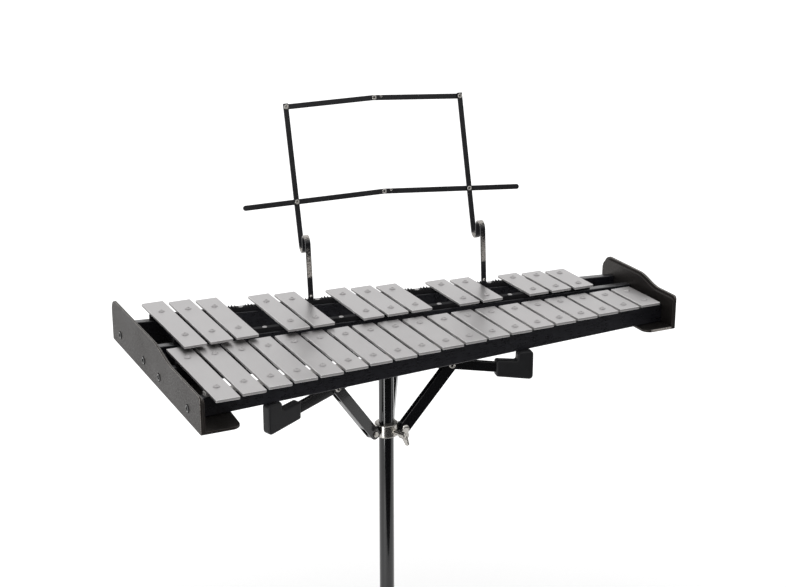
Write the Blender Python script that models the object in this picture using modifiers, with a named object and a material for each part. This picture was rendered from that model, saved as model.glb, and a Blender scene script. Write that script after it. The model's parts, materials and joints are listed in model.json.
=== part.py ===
"""A folding-stand bell kit: a two-row metallophone, its music rest and its basket stand.

Frame while modelling: X runs along the rows from the longest bar, Y away from the player, Z up,
and Z = 0 is the underside of the natural bars.  At the end the whole kit is lifted onto the floor.
"""

from math import atan2, cos, pi, radians, sin, tan

import bmesh
import bpy
from mathutils import Matrix, Vector

MM = 0.001

# Clearances
FIT = 0.3 * MM                      # between pieces that touch on the real object
SIDE_GAP = 0.4 * MM                 # beside a link that turns between two cheeks
HEAD_SINK = 0.2 * MM                # of a head in the piece that it is part of
SOCKET_SIDE_PLAY = 0.8 * MM         # sideways room of a rest post, used up while the rest starts to fold

# Bars: a bar's length falls by half every two octaves, because pitch goes with 1 / length squared
PITCH = 29.0 * MM
BAR_WIDTH = 25.0 * MM
BAR_THICKNESS = 3.25 * MM
BAR_EDGE = 0.45 * MM
LONGEST_BAR = 155.4 * MM
SEMITONES_PER_HALVING = 24
ACCIDENTAL_RISE = 6.15 * MM         # underside of the accidental bars over that of the natural ones
NATURAL_NOTES = ("F5 G5 A5 B5 C6 D6 E6 F6 G6 A6 B6 C7 D7 E7 F7 G7 A7 B7 C8").split()
SCALE_STEPS = (2, 2, 2, 1, 2, 2, 1)  # semitones from each natural note to the next, starting on F

# Screws that hold the bars, with a little play in the bar's holes
SCREW_RADIUS = 1.5 * MM
SCREW_HOLE_RADIUS = 2.1 * MM
SCREW_HEAD_RADIUS = 3.0 * MM
SCREW_HEAD_HEIGHT = 1.4 * MM
SCREW_SIDES = 8
SPARE_HEAD_RADIUS = 3.1 * MM        # screws in the gaps of the accidental row sit on the cushion

# Rails: each board's centre line runs straight from the first natural bar's place to the last one's
RAIL_THICKNESS = 9.5 * MM
RAIL_BOTTOM = -24.3 * MM
INNER_RAIL_BOTTOM = -18.5 * MM      # the rear natural rail lets an arm of the stand pass under it
NATURAL_BOARD_TOP = -4.0 * MM
ACCIDENTAL_BOARD_TOP = 0.8 * MM
CUSHION_WIDTH = 7.0 * MM
CUSHION_OVERLAP = 0.5 * MM
CUSHION_MARGIN = 6.0 * MM           # cushion past the outer edges of the end bars
RAIL_LINES = {
    "natural_front": (-50.4 * MM, -11.3 * MM),
    "natural_rear": (38.0 * MM, 23.7 * MM),
    "accidental_front": (90.0 * MM, 56.1 * MM),
    "accidental_rear": (173.1 * MM, 93.9 * MM),
}

# End plates: an upright wall with an S-shaped top, and a flange turned in under the rails
PLATE_THICKNESS = 5.0 * MM
FLANGE_THICKNESS = 3.0 * MM
PLATE_HIGH_TOP = 20.0 * MM
PLATE_LOW_TOP = 11.5 * MM
PLATE_REAR_RADIUS = 14.0 * MM
PLATE_FRONT_RADIUS = 4.0 * MM
FLANGE_RADIUS = 10.0 * MM
FLANGE_INSET = 0.6 * MM             # flange inside the wall's ends and outer face
LEFT_PLATE_OUTER_X = -31.0 * MM
RIGHT_PLATE_OUTER_X = 549.5 * MM
LEFT_FLANGE_WIDTH = 42.0 * MM
RIGHT_FLANGE_WIDTH = 39.0 * MM
LEFT_PLATE_FRONT = 38.0 * MM        # plate past the centre line of the front rail
LEFT_PLATE_REAR = 31.0 * MM         # plate past the centre line of the rear rail
RIGHT_PLATE_FRONT = 26.0 * MM
RIGHT_PLATE_REAR = 22.0 * MM
LEFT_STEP = (-4.0 * MM, 62.0 * MM)  # where the S-shaped top starts and ends
RIGHT_STEP = (-3.0 * MM, 38.0 * MM)
END_SCREW_RADIUS = 3.6 * MM
END_SCREW_HEIGHT = 1.3 * MM
END_SCREW_SINK = 1.0 * MM
END_SCREW_DROP = 13.5 * MM          # end screws below the underside of the natural bars

# Music rest: two bent uprights and four half-bars, all of the same flat strip
STRIP_WIDTH = 6.0 * MM
STRIP_THICKNESS = 2.0 * MM
STRIP_LAYER = STRIP_THICKNESS + SIDE_GAP
POST_BEFORE_SCREW = 7.2 * MM        # each post stands this far left of the screw in an empty place
LEFT_POST_PLACE = 6.5               # bar places of those two screws
RIGHT_POST_PLACE = 13.5
POST_INSERTION = 6.0 * MM
HOOK_HEIGHT = 70.6 * MM             # centre of the upper bend of an upright
SADDLE_HEIGHT = 63.6 * MM           # centre of the lower bend
BEND_RADIUS = 7.9 * MM
REST_TILT = radians(14.1)           # backwards
REST_LEAN = radians(2.1)            # towards the long bars
REST_ARCH = radians(2.4)            # half-bars above the straight line between their uprights
TOP_RIVET_HEIGHT = 223.2 * MM
LOWER_RIVET_HEIGHT = 116.2 * MM
UPRIGHT_TIP = 4.0 * MM
LOWER_BAR_OVERHANG = 59.2 * MM
RIVET_RADIUS = 1.2 * MM
RIVET_HEAD_RADIUS = 2.6 * MM
RIVET_HEAD_HEIGHT = 0.8 * MM
RIVET_SIDES = 8
ROUND_STEPS = 4
S_CURVE_STEPS = 8

# Basket: three arms with rubber boots that carry the rails, three struts and a sliding collar
STAND_X = 206.0 * MM
STAND_Y = 0.0 * MM
ARM_DIRECTIONS = {"left": radians(197.9), "right": radians(349.5), "rear": radians(56.2)}
ARM_REACH = 155.0 * MM              # stand axis to the middle of a boot's lug
ARM_DEPTH = 11.0 * MM
ARM_WIDTH = 5.6 * MM
ARM_SLOPE = radians(9.7)            # the open arms fall outwards by this angle
ARM_PIVOT_RISE = 2.0 * MM           # pivot line of the arms over the top of the boots' lugs
ARM_PIVOT_RADIUS = 18.0 * MM
BOOT_WIDTH = 11.0 * MM
LUG_LENGTH = 18.0 * MM
LUG_HEIGHT = 33.5 * MM
SLEEVE_LENGTH = 42.0 * MM
SLEEVE_TOP_DROP = 7.0 * MM          # sleeve's inner end, top and underside, below the top of the lug
SLEEVE_LOW_DROP = 26.0 * MM
NOTCH_DROP = 10.3 * MM              # corner between the sleeve and the lug
BOOT_ROUND = 4.0 * MM
BOOT_EDGE = 2.0 * MM
STRUT_TOP_RADIUS = 72.0 * MM        # stand axis to the strut's upper pivot
STRUT_FOOT_RADIUS = 20.0 * MM
STRUT_FOOT_DROP = 67.0 * MM         # lower pivot below the upper one
STRUT_DEPTH = 12.0 * MM
CHEEK = 1.7 * MM
FORK_LENGTH = 17.0 * MM
PIN_RADIUS = 2.0 * MM
PIN_HEAD_RADIUS = 3.6 * MM
PIN_HEAD_HEIGHT = 1.4 * MM
PIN_SIDES = 8
COLLAR_SIDES = 16
COLLAR_EDGE = 0.8 * MM
CHEEK_STEPS = 3

# Stand tubes, collars and tripod
REST_HEIGHT = 640.0 * MM            # floor to the underside of the rails' seats on the boots
POST_RADIUS = 7.95 * MM
POST_WALL = 1.5 * MM
POST_TOP_CAP = 3.0 * MM
POST_ABOVE_ARMS = 9.0 * MM
POST_LENGTH = 437.0 * MM
TUBE_WALL = 1.5 * MM
TUBE_BOTTOM = 42.0 * MM             # above the floor, as are the heights below
TUBE_TOP = 345.0 * MM
LEG_COLLAR_HEIGHT = 300.0 * MM
COLLAR_WALL = 4.5 * MM
HUB_HEIGHT = 14.0 * MM
CLAMP_HEIGHT = 24.0 * MM
LEG_DIRECTIONS = {"front": radians(270.0), "right": radians(30.0), "left": radians(150.0)}
LEG_PIVOT_RADIUS = 21.0 * MM
LEG_REACH = 300.0 * MM
LEG_DEPTH = 11.0 * MM
LEG_WIDTH = 7.0 * MM
BRACE_LENGTH = 120.0 * MM           # equal to the leg's length from its pivot to the brace
BRACE_DEPTH = 10.0 * MM
FOOT_RADIUS = 11.0 * MM
FOOT_TOP_RADIUS = 8.5 * MM
FOOT_HEIGHT = 22.0 * MM
FOOT_EDGE = 1.0 * MM
KNOB_SHAFT_RADIUS = 3.0 * MM
KNOB_REACH = 17.0 * MM
KNOB_WING = 11.0 * MM
KNOB_EAR = 7.0 * MM                 # wings past the end of the shaft
KNOB_THICKNESS = 3.0 * MM
BASKET_KNOB_DIRECTION = radians(-70.0)
CLAMP_KNOB_DIRECTION = radians(-60.0)
HUB_KNOB_DIRECTION = radians(-30.0)

# What follows from the sizes above
ROW_LENGTH = (len(NATURAL_NOTES) - 1) * PITCH
SEAT_TOP = RAIL_BOTTOM - FIT        # top of the boots' lugs and of the flanges
FLOOR = SEAT_TOP - REST_HEIGHT
ARM_LEVEL = SEAT_TOP + ARM_PIVOT_RISE
STRUT_TOP_LEVEL = ARM_LEVEL - (STRUT_TOP_RADIUS - ARM_PIVOT_RADIUS) * tan(ARM_SLOPE)
STRUT_FOOT_LEVEL = STRUT_TOP_LEVEL - STRUT_FOOT_DROP
TUBE_RADIUS = POST_RADIUS + FIT + TUBE_WALL
ARM_EYE_RADIUS = ARM_DEPTH / 2 - SIDE_GAP


def material(name, colour, roughness, metallic):
    """A Principled material with one plain colour."""
    made = bpy.data.materials.new(name)
    made.use_nodes = True
    shader = made.node_tree.nodes["Principled BSDF"]
    shader.inputs["Base Color"].default_value = (*colour, 1.0)
    shader.inputs["Roughness"].default_value = roughness
    shader.inputs["Metallic"].default_value = metallic
    made.diffuse_color = (*colour, 1.0)
    return made


def clean(mesh, weld=1e-6):
    """Weld a mesh's loose seams and turn its faces outwards."""
    work = bmesh.new()
    work.from_mesh(mesh)
    bmesh.ops.remove_doubles(work, verts=work.verts, dist=weld)
    bmesh.ops.dissolve_degenerate(work, dist=weld, edges=work.edges)
    loose = [edge for edge in work.edges if not edge.link_faces]
    bmesh.ops.delete(work, geom=loose, context="EDGES")
    bmesh.ops.recalc_face_normals(work, faces=work.faces)
    work.to_mesh(mesh)
    work.free()


def stand_in(name, data, frame):
    """Put a mesh or curve in the scene, with its place written into its points."""
    made = bpy.data.objects.new(name, data)
    bpy.context.scene.collection.objects.link(made)
    if isinstance(data, bpy.types.Mesh):
        data.transform(frame)
    else:
        made.matrix_world = frame
    return made


def bake(piece):
    """Replace a piece's data by the mesh that its curve or modifiers give."""
    bpy.context.view_layer.update()
    graph = bpy.context.evaluated_depsgraph_get()
    mesh = bpy.data.meshes.new_from_object(piece.evaluated_get(graph))
    mesh.transform(piece.matrix_world)
    clean(mesh)
    name = piece.name
    discard(piece)
    return stand_in(name, mesh, Matrix.Identity(4))


def discard(piece):
    """Remove a helper object and its data."""
    data = piece.data
    bpy.data.objects.remove(piece)
    if isinstance(data, bpy.types.Mesh):
        bpy.data.meshes.remove(data)
    else:
        bpy.data.curves.remove(data)


def boolean(piece, other, operation):
    """Join or cut a piece by another one, which is used up."""
    modifier = piece.modifiers.new(operation.title(), "BOOLEAN")
    modifier.operation = operation
    modifier.solver = "EXACT"
    modifier.object = other
    result = bake(piece)
    discard(other)
    return result


def fuse(piece, *others):
    """Join pieces into one solid."""
    for other in others:
        piece = boolean(piece, other, "UNION")
    return piece


def cut(piece, *others):
    """Cut pieces out of a solid."""
    for other in others:
        piece = boolean(piece, other, "DIFFERENCE")
    return piece


def gather(name, pieces):
    """Put solids that stay clear of each other into one helper object."""
    work = bmesh.new()
    for piece in pieces:
        work.from_mesh(piece.data)
        discard(piece)
    mesh = bpy.data.meshes.new(name)
    work.to_mesh(mesh)
    work.free()
    return stand_in(name, mesh, Matrix.Identity(4))


def slab(name, outline, low, high, frame=Matrix.Identity(4)):
    """A flat outline in the frame's XY plane, filled from low to high along its Z."""
    curve = bpy.data.curves.new(name, "CURVE")
    curve.dimensions = "2D"
    curve.fill_mode = "BOTH"
    curve.extrude = (high - low) / 2
    spline = curve.splines.new("POLY")
    spline.points.add(len(outline) - 1)
    for point, (x, y) in zip(spline.points, outline):
        point.co = (x, y, 0.0, 1.0)
    spline.use_cyclic_u = True
    return bake(stand_in(name, curve, frame @ Matrix.Translation((0, 0, (low + high) / 2))))


def block(name, low, high, frame=Matrix.Identity(4)):
    """A box between two corners."""
    work = bmesh.new()
    size = Vector(high) - Vector(low)
    centre = (Vector(high) + Vector(low)) / 2
    bmesh.ops.create_cube(work, size=1.0, matrix=Matrix.Translation(centre) @ Matrix.Diagonal((*size, 1.0)))
    mesh = bpy.data.meshes.new(name)
    work.to_mesh(mesh)
    work.free()
    return stand_in(name, mesh, frame)


def turned(name, profile, sides, frame=Matrix.Identity(4)):
    """A profile of (radius, height) points, top to bottom on its outer side, turned about Z."""
    mesh = bpy.data.meshes.new(name)
    points = [(radius, 0.0, height) for radius, height in profile]
    loops = list(zip(range(len(points) - 1), range(1, len(points))))
    if profile[0][0] > 0 and profile[-1][0] > 0:
        loops.append((len(points) - 1, 0))
    mesh.from_pydata(points, loops, [])
    made = bpy.data.objects.new(name, mesh)
    bpy.context.scene.collection.objects.link(made)
    screw = made.modifiers.new("Screw", "SCREW")
    screw.steps = sides
    screw.render_steps = sides
    screw.use_merge_vertices = True
    screw.merge_threshold = 0.00001
    made.matrix_world = frame
    return bake(made)


def drum(name, radius, low, high, sides, frame=Matrix.Identity(4)):
    """A plain round bar along Z."""
    work = bmesh.new()
    bmesh.ops.create_cone(work, cap_ends=True, segments=sides, radius1=radius, radius2=radius,
                          depth=high - low, matrix=Matrix.Translation((0, 0, (low + high) / 2)))
    mesh = bpy.data.meshes.new(name)
    work.to_mesh(mesh)
    work.free()
    return stand_in(name, mesh, frame)


def arc(centre, radius, start, end, steps):
    """Points on an arc from one angle to another, both ends included."""
    turns = [start + (end - start) * step / steps for step in range(steps + 1)]
    return [(centre[0] + radius * cos(turn), centre[1] + radius * sin(turn)) for turn in turns]


def basis(x_axis, y_axis, z_axis, origin):
    """The frame with these axes at this origin."""
    made = Matrix((x_axis, y_axis, z_axis)).transposed().to_4x4()
    made.translation = origin
    return made


def side_frame(direction, centre=(STAND_X, STAND_Y)):
    """The upright plane through the stand's axis: X outwards, Y up, Z sideways."""
    outwards = Vector((cos(direction), sin(direction), 0.0))
    up = Vector((0.0, 0.0, 1.0))
    return basis(outwards, up, outwards.cross(up), Vector((centre[0], centre[1], 0.0)))


def place(name, piece, finish, pivot=None, turn=0.0, parent=None):
    """Name a finished solid, colour it, shade it and put its origin on its pivot."""
    frame = Matrix.Translation(pivot or (0, 0, 0)) @ Matrix.Rotation(turn, 4, "Z")
    piece.data.transform(frame.inverted())
    piece.name = name
    piece.data.name = name
    piece.location = frame.translation
    piece.rotation_euler = (0.0, 0.0, turn)
    piece.data.materials.clear()
    piece.data.materials.append(finish)
    piece.data.shade_smooth()
    piece.data.set_sharp_from_angle(angle=radians(35))
    piece.parent = parent
    bpy.context.scene.collection.objects.unlink(piece)
    KIT.objects.link(piece)
    return piece


def rail_y(rail, x):
    """Where a rail's centre line is at x."""
    first, last = RAIL_LINES[rail]
    return first + (last - first) * x / ROW_LENGTH


def bar_places():
    """Each bar's name, x and row, from the steps of the scale; and the empty accidental places."""
    bars = []
    empty = []
    semitone = 0
    for index, note in enumerate(NATURAL_NOTES):
        bars.append((f"bar_{note}", index * PITCH, "natural", semitone))
        step = SCALE_STEPS[index % len(SCALE_STEPS)]
        if index < len(NATURAL_NOTES) - 1:
            between = (index + 0.5) * PITCH
            if step == 2:
                bars.append((f"bar_{note[0]}s{note[1]}", between, "accidental", semitone + 1))
            else:
                empty.append(between)
        semitone += step
    last = max(x for _, x, row, _ in bars if row == "accidental")
    return bars, [x for x in empty if x < last]


def bar_length(semitone):
    """Length of the bar that sounds this many semitones over the longest one."""
    return LONGEST_BAR * 2 ** (-semitone / SEMITONES_PER_HALVING)


def row_level(row):
    """Underside of a row's bars."""
    return ACCIDENTAL_RISE if row == "accidental" else 0.0


def make_bar(name, x, row, semitone):
    """One bar with eased upper edges and a hole at each rail."""
    length = bar_length(semitone)
    front, rear = rail_y(f"{row}_front", x), rail_y(f"{row}_rear", x)
    middle = (front + rear) / 2
    level = row_level(row)
    top = level + BAR_THICKNESS
    bar = block(name, (x - BAR_WIDTH / 2, middle - length / 2, level),
                (x + BAR_WIDTH / 2, middle + length / 2, top))
    work = bmesh.new()
    work.from_mesh(bar.data)
    upper = [edge for edge in work.edges if min(vert.co.z for vert in edge.verts) > top - FIT]
    bmesh.ops.bevel(work, geom=upper, offset=BAR_EDGE, offset_type="OFFSET", segments=1, affect="EDGES")
    work.to_mesh(bar.data)
    work.free()
    drills = [drum("drill", SCREW_HOLE_RADIUS, level - BAR_THICKNESS, top + BAR_THICKNESS, SCREW_SIDES,
                   Matrix.Translation((x, y, 0))) for y in (front, rear)]
    place(name, cut(bar, gather("drills", drills)), ALUMINIUM, (x, middle, level), parent=INSTRUMENT)


def screw(x, y, foot, seat, head_radius):
    """A screw from its foot in the rail to a domed head on its seat."""
    return turned("screw", [(0, seat + SCREW_HEAD_HEIGHT), (head_radius, seat), (SCREW_RADIUS, seat),
                            (SCREW_RADIUS, foot), (0, foot)], SCREW_SIDES, Matrix.Translation((x, y, 0)))


def strip_between(name, rail, low, high, width, left, right):
    """A straight board along a rail's centre line, with its ends square to X."""
    half = width / 2
    outline = [(left, rail_y(rail, left) - half), (right, rail_y(rail, right) - half),
               (right, rail_y(rail, right) + half), (left, rail_y(rail, left) + half)]
    return slab(name, outline, low, high)


def make_rail(rail, bars, empty):
    """One wooden rail with its cushion strip, its screws and, at the back, the sockets of the rest."""
    row = rail.split("_")[0]
    level = row_level(row)
    board_top = ACCIDENTAL_BOARD_TOP if row == "accidental" else NATURAL_BOARD_TOP
    inner_left = LEFT_PLATE_OUTER_X + PLATE_THICKNESS + FIT
    inner_right = RIGHT_PLATE_OUTER_X - PLATE_THICKNESS - FIT
    bottom = INNER_RAIL_BOTTOM if rail == "natural_rear" else RAIL_BOTTOM
    board = strip_between(rail, rail, bottom, board_top, RAIL_THICKNESS, inner_left, inner_right)
    xs = [x for _, x, bar_row, _ in bars if bar_row == row]
    reach = BAR_WIDTH / 2 + CUSHION_MARGIN
    cushion_top = level - FIT
    cushion = strip_between("cushion", rail, board_top - CUSHION_OVERLAP, cushion_top, CUSHION_WIDTH,
                            min(xs) - reach, max(xs) + reach)
    foot = board_top - 2 * CUSHION_OVERLAP
    head_seat = level + BAR_THICKNESS + FIT
    screws = [screw(x, rail_y(rail, x), foot, head_seat, SCREW_HEAD_RADIUS) for x in xs]
    if row == "accidental":
        sunk = cushion_top - CUSHION_OVERLAP
        screws += [screw(x, rail_y(rail, x), foot, sunk, SPARE_HEAD_RADIUS) for x in empty]
    board = fuse(board, cushion, gather("screws", screws))
    if rail == "accidental_rear":
        for post_frame in (REST.left_frame, REST.right_frame):
            socket = block("socket", (-STRIP_WIDTH / 2 - SOCKET_SIDE_PLAY, -STRIP_THICKNESS / 2 - FIT,
                                      -POST_INSERTION - FIT),
                           (STRIP_WIDTH / 2 + SOCKET_SIDE_PLAY, STRIP_THICKNESS / 2 + FIT, HOOK_HEIGHT / 2),
                           post_frame)
            board = cut(board, socket)
    place(f"rail_{rail}", board, BLACK_WOOD, (0.0, rail_y(rail, 0.0), bottom), parent=INSTRUMENT)


def plate_outline(front, rear, step):
    """Side view of an end plate: (y, z) points, with rounded corners and the S-shaped top.

    The top falls from its high to its low level along half a cosine.
    """
    bottom = SEAT_TOP - FLANGE_THICKNESS + FLANGE_INSET
    drop = PLATE_HIGH_TOP - PLATE_LOW_TOP
    points = [(front, bottom), (rear, bottom)]
    points += arc((rear - PLATE_REAR_RADIUS, PLATE_HIGH_TOP - PLATE_REAR_RADIUS), PLATE_REAR_RADIUS,
                  0.0, pi / 2, ROUND_STEPS)
    for index in range(S_CURVE_STEPS + 1):
        share = index / S_CURVE_STEPS
        y = step[1] + (step[0] - step[1]) * share
        points.append((y, PLATE_HIGH_TOP - drop * (1 - cos(pi * share)) / 2))
    points += arc((front + PLATE_FRONT_RADIUS, PLATE_LOW_TOP - PLATE_FRONT_RADIUS), PLATE_FRONT_RADIUS,
                  pi / 2, pi, ROUND_STEPS)
    return points


def make_plate(side, outer_x, inwards, flange_width, front_margin, rear_margin, step):
    """An end plate with its flange under the rails and the heads of its four screws."""
    front = rail_y("natural_front", outer_x) - front_margin
    rear = rail_y("accidental_rear", outer_x) + rear_margin
    inner_x = outer_x + inwards * PLATE_THICKNESS
    upright = basis(Vector((0, 1, 0)), Vector((0, 0, 1)), Vector((1, 0, 0)), Vector((0, 0, 0)))
    wall = slab("wall", plate_outline(front, rear, step), min(outer_x, inner_x), max(outer_x, inner_x), upright)
    tip_x = outer_x + inwards * flange_width
    start_x = outer_x + inwards * FLANGE_INSET
    corner_x = tip_x - inwards * FLANGE_RADIUS
    low_y, high_y = front + FLANGE_INSET, rear - FLANGE_INSET
    flange_outline = [(start_x, low_y), (start_x, high_y)]
    for corner_y, first, last in ((high_y - FLANGE_RADIUS, pi / 2, 0.0), (low_y + FLANGE_RADIUS, 0.0, -pi / 2)):
        points = arc((0.0, corner_y), FLANGE_RADIUS, first, last, ROUND_STEPS)
        flange_outline += [(corner_x + inwards * x, y) for x, y in points]
    flange = slab("flange", flange_outline, SEAT_TOP - FLANGE_THICKNESS, SEAT_TOP)
    heads = []
    outwards = Vector((-inwards, 0, 0))
    for rail in RAIL_LINES:
        spot = Vector((outer_x, rail_y(rail, outer_x), -END_SCREW_DROP))
        frame = basis(Vector((0, 1, 0)), outwards.cross(Vector((0, 1, 0))), outwards, spot)
        heads.append(turned("head", [(0, END_SCREW_HEIGHT), (END_SCREW_RADIUS * 0.7, END_SCREW_HEIGHT * 0.7),
                                     (END_SCREW_RADIUS, 0), (END_SCREW_RADIUS, -END_SCREW_SINK),
                                     (0, -END_SCREW_SINK)], PIN_SIDES, frame))
    plate = fuse(wall, *heads, flange)
    place(f"end_plate_{side}", plate, BLACK_PAINT, (outer_x, front, SEAT_TOP), parent=INSTRUMENT)


class RestFrame:
    """Places of the music rest: along the rail, back, up, and in the rest's own leaning plane."""

    def __init__(self):
        left_x = LEFT_POST_PLACE * PITCH - POST_BEFORE_SCREW
        right_x = RIGHT_POST_PLACE * PITCH - POST_BEFORE_SCREW
        left = Vector((left_x, rail_y("accidental_rear", left_x), 0.0))
        right = Vector((right_x, rail_y("accidental_rear", right_x), 0.0))
        self.spread = (right - left).length
        self.half_bar = self.spread / 2 / cos(REST_ARCH)
        self.along = (right - left).normalized()
        self.back = Vector((-self.along.y, self.along.x, 0.0))
        up = Vector((0.0, 0.0, 1.0))
        self.normal = self.back * cos(REST_TILT) - up * sin(REST_TILT)
        self.upwards = self.back * sin(REST_TILT) + up * cos(REST_TILT)
        lean = Matrix.Rotation(-REST_LEAN, 4, self.normal)
        square = basis(self.along, self.back, up, Vector((0, 0, 0)))
        self.left_frame = Matrix.Translation(left) @ lean @ square
        self.right_frame = Matrix.Translation(right - self.normal * STRIP_LAYER) @ lean @ square
        self.lift_axis = (lean @ up).normalized()
        self.saddle = arc((3 * BEND_RADIUS, SADDLE_HEIGHT), BEND_RADIUS, pi, 2 * pi - REST_TILT, 6)
        end = self.saddle[-1]
        self.plane_depth = end[0] * cos(REST_TILT) - end[1] * sin(REST_TILT)
        self.base = left

    def rivet(self, height):
        """A point on the left upright's middle line, this far up the leaning plane."""
        sideways = -height * sin(REST_LEAN)
        return (self.base + self.along * sideways + self.upwards * height * cos(REST_LEAN)
                + self.normal * self.plane_depth)

    def bar_frame(self, start, angle, layer):
        """Frame of a half-bar from its start: X along it, Z towards the player."""
        along = self.along * cos(angle) + self.upwards * sin(angle)
        across = self.upwards * cos(angle) - self.along * sin(angle)
        return basis(along, across, -self.normal, start - self.normal * layer * STRIP_LAYER)


def strip_path():
    """Middle line of an upright in side view: post, upper bend, lower bend and tilted upper part."""
    path = [(0.0, -POST_INSERTION), (0.0, HOOK_HEIGHT)]
    path += arc((BEND_RADIUS, HOOK_HEIGHT), BEND_RADIUS, pi, 0.0, 6)[1:]
    path += REST.saddle
    end = path[-1]
    height = end[0] * sin(REST_TILT) + end[1] * cos(REST_TILT)
    rise = TOP_RIVET_HEIGHT + UPRIGHT_TIP - height
    path.append((end[0] + rise * sin(REST_TILT), end[1] + rise * cos(REST_TILT)))
    return path


def offset_path(path, distance):
    """The path moved sideways by a distance, mitred at its corners."""
    moved = []
    for index, point in enumerate(path):
        before = Vector(path[max(index - 1, 0)])
        after = Vector(path[min(index + 1, len(path) - 1)])
        here = Vector(point)
        first = (here - before).normalized() if index > 0 else (after - here).normalized()
        second = (after - here).normalized() if index < len(path) - 1 else first
        middle = (first + second).normalized()
        stretch = 1 / max(middle.dot(first), 0.5)
        moved.append((here.x - middle.y * distance * stretch, here.y + middle.x * distance * stretch))
    return moved


def rivet_pin(frame, owner_is_rear):
    """A rivet through two strips: the rear one at Z = 0 of the frame, the front one a layer before it."""
    rear_face = -STRIP_THICKNESS / 2 + (HEAD_SINK if owner_is_rear else -FIT)
    front_face = STRIP_LAYER + STRIP_THICKNESS / 2 + (FIT if owner_is_rear else -HEAD_SINK)
    return turned("rivet", [(0, front_face + RIVET_HEAD_HEIGHT), (RIVET_HEAD_RADIUS, front_face),
                            (RIVET_RADIUS, front_face), (RIVET_RADIUS, rear_face),
                            (RIVET_HEAD_RADIUS, rear_face), (0, rear_face - RIVET_HEAD_HEIGHT)],
                  RIVET_SIDES, frame)


def rest_bar(start, end, frame, holes):
    """A half-bar with round ends, from one distance to another along its frame, with rivet holes."""
    half = STRIP_WIDTH / 2
    outline = arc((start, 0.0), half, pi / 2, 3 * pi / 2, ROUND_STEPS)
    outline += arc((end, 0.0), half, -pi / 2, pi / 2, ROUND_STEPS)
    bar = slab("half_bar", outline, -STRIP_THICKNESS / 2, STRIP_THICKNESS / 2, frame)
    if holes:
        drills = [drum("drill", RIVET_RADIUS + FIT, -STRIP_WIDTH, STRIP_WIDTH, RIVET_SIDES,
                       frame @ Matrix.Translation((hole, 0, 0))) for hole in holes]
        bar = cut(bar, gather("drills", drills))
    return bar


def make_rest():
    """The music rest: two bent uprights in the rear rail's sockets and two folding cross bars."""
    half = REST.half_bar
    left_top, left_low = REST.rivet(TOP_RIVET_HEIGHT), REST.rivet(LOWER_RIVET_HEIGHT)
    across = REST.along * REST.spread
    path = strip_path()
    outline = offset_path(path, STRIP_THICKNESS / 2) + offset_path(path, -STRIP_THICKNESS / 2)[::-1]
    side = basis(Vector((0, 1, 0)), Vector((0, 0, 1)), Vector((1, 0, 0)), Vector((0, 0, 0)))
    for name, frame, tops, rear in (("left", REST.left_frame, (left_top, left_low), True),
                                    ("right", REST.right_frame, (left_top + across, left_low + across), False)):
        upright = slab("upright", outline, -STRIP_WIDTH / 2, STRIP_WIDTH / 2, frame @ side)
        pins = [rivet_pin(REST.bar_frame(point, 0.0, 0), rear) for point in tops]
        upright = fuse(upright, gather("rivets", pins))
        pivot = REST.base if name == "left" else tops[0]
        place(f"rest_upright_{name}", upright, BLACK_STEEL, pivot, parent=MUSIC_REST)
    for level, corner, overhang in (("top", left_top, 0.0), ("lower", left_low, LOWER_BAR_OVERHANG)):
        rise = REST.along * half * cos(REST_ARCH) + REST.upwards * half * sin(REST_ARCH)
        centre = corner + rise
        left = rest_bar(-overhang, half, REST.bar_frame(corner, REST_ARCH, 1), [0.0])
        left = fuse(left, rivet_pin(REST.bar_frame(centre, 0.0, 0), False))
        right = rest_bar(0.0, half + overhang, REST.bar_frame(centre, -REST_ARCH, 0), [0.0, half])
        place(f"rest_{level}_bar_left", left, BLACK_STEEL, corner, parent=MUSIC_REST)
        place(f"rest_{level}_bar_right", right, BLACK_STEEL, centre, parent=MUSIC_REST)


def link_outline(start, end, depth):
    """A straight link with round ends about the points start and end, in its own plane."""
    run = Vector(end) - Vector(start)
    angle = atan2(run.y, run.x)
    outline = arc(start, depth / 2, angle + pi / 2, angle + 3 * pi / 2, ROUND_STEPS)
    return outline + arc(end, depth / 2, angle - pi / 2, angle + pi / 2, ROUND_STEPS)


def pivot_pin(frame, point, inner_half, head_gap):
    """A pin across a pivot at a point of a side frame, its heads outside the cheeks."""
    face = inner_half + head_gap
    moved = frame @ Matrix.Translation((point[0], point[1], 0.0))
    return turned("pin", [(0, face + PIN_HEAD_HEIGHT), (PIN_HEAD_RADIUS, face + PIN_HEAD_HEIGHT),
                          (PIN_HEAD_RADIUS, face), (PIN_RADIUS, face), (PIN_RADIUS, -face),
                          (PIN_HEAD_RADIUS, -face), (PIN_HEAD_RADIUS, -face - PIN_HEAD_HEIGHT),
                          (0, -face - PIN_HEAD_HEIGHT)], PIN_SIDES, moved)


def pin_hole(frame, point):
    """The drill of a pin's running hole."""
    return drum("drill", PIN_RADIUS + FIT, -BOOT_WIDTH, BOOT_WIDTH, PIN_SIDES,
                frame @ Matrix.Translation((point[0], point[1], 0.0)))


def ears(frame, ring_radius, pivot, depth, link_width):
    """Two cheeks out of a collar, beside a link that turns about the pivot."""
    inner = link_width / 2 + SIDE_GAP
    outline = [(ring_radius, pivot[1] - depth / 2)]
    outline += arc(pivot, depth / 2, -pi / 2, pi / 2, CHEEK_STEPS)
    outline.append((ring_radius, pivot[1] + depth / 2))
    return [slab("ear", outline, low, low + CHEEK, frame) for low in (-inner - CHEEK, inner)]


def ring(name, inner, outer, low, high):
    """A collar about the stand's axis, with eased outer edges."""
    return turned(name, [(inner, high), (outer - COLLAR_EDGE, high), (outer, high - COLLAR_EDGE),
                         (outer, low + COLLAR_EDGE), (outer - COLLAR_EDGE, low), (inner, low)],
                  COLLAR_SIDES, Matrix.Translation((STAND_X, STAND_Y, 0)))


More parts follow.
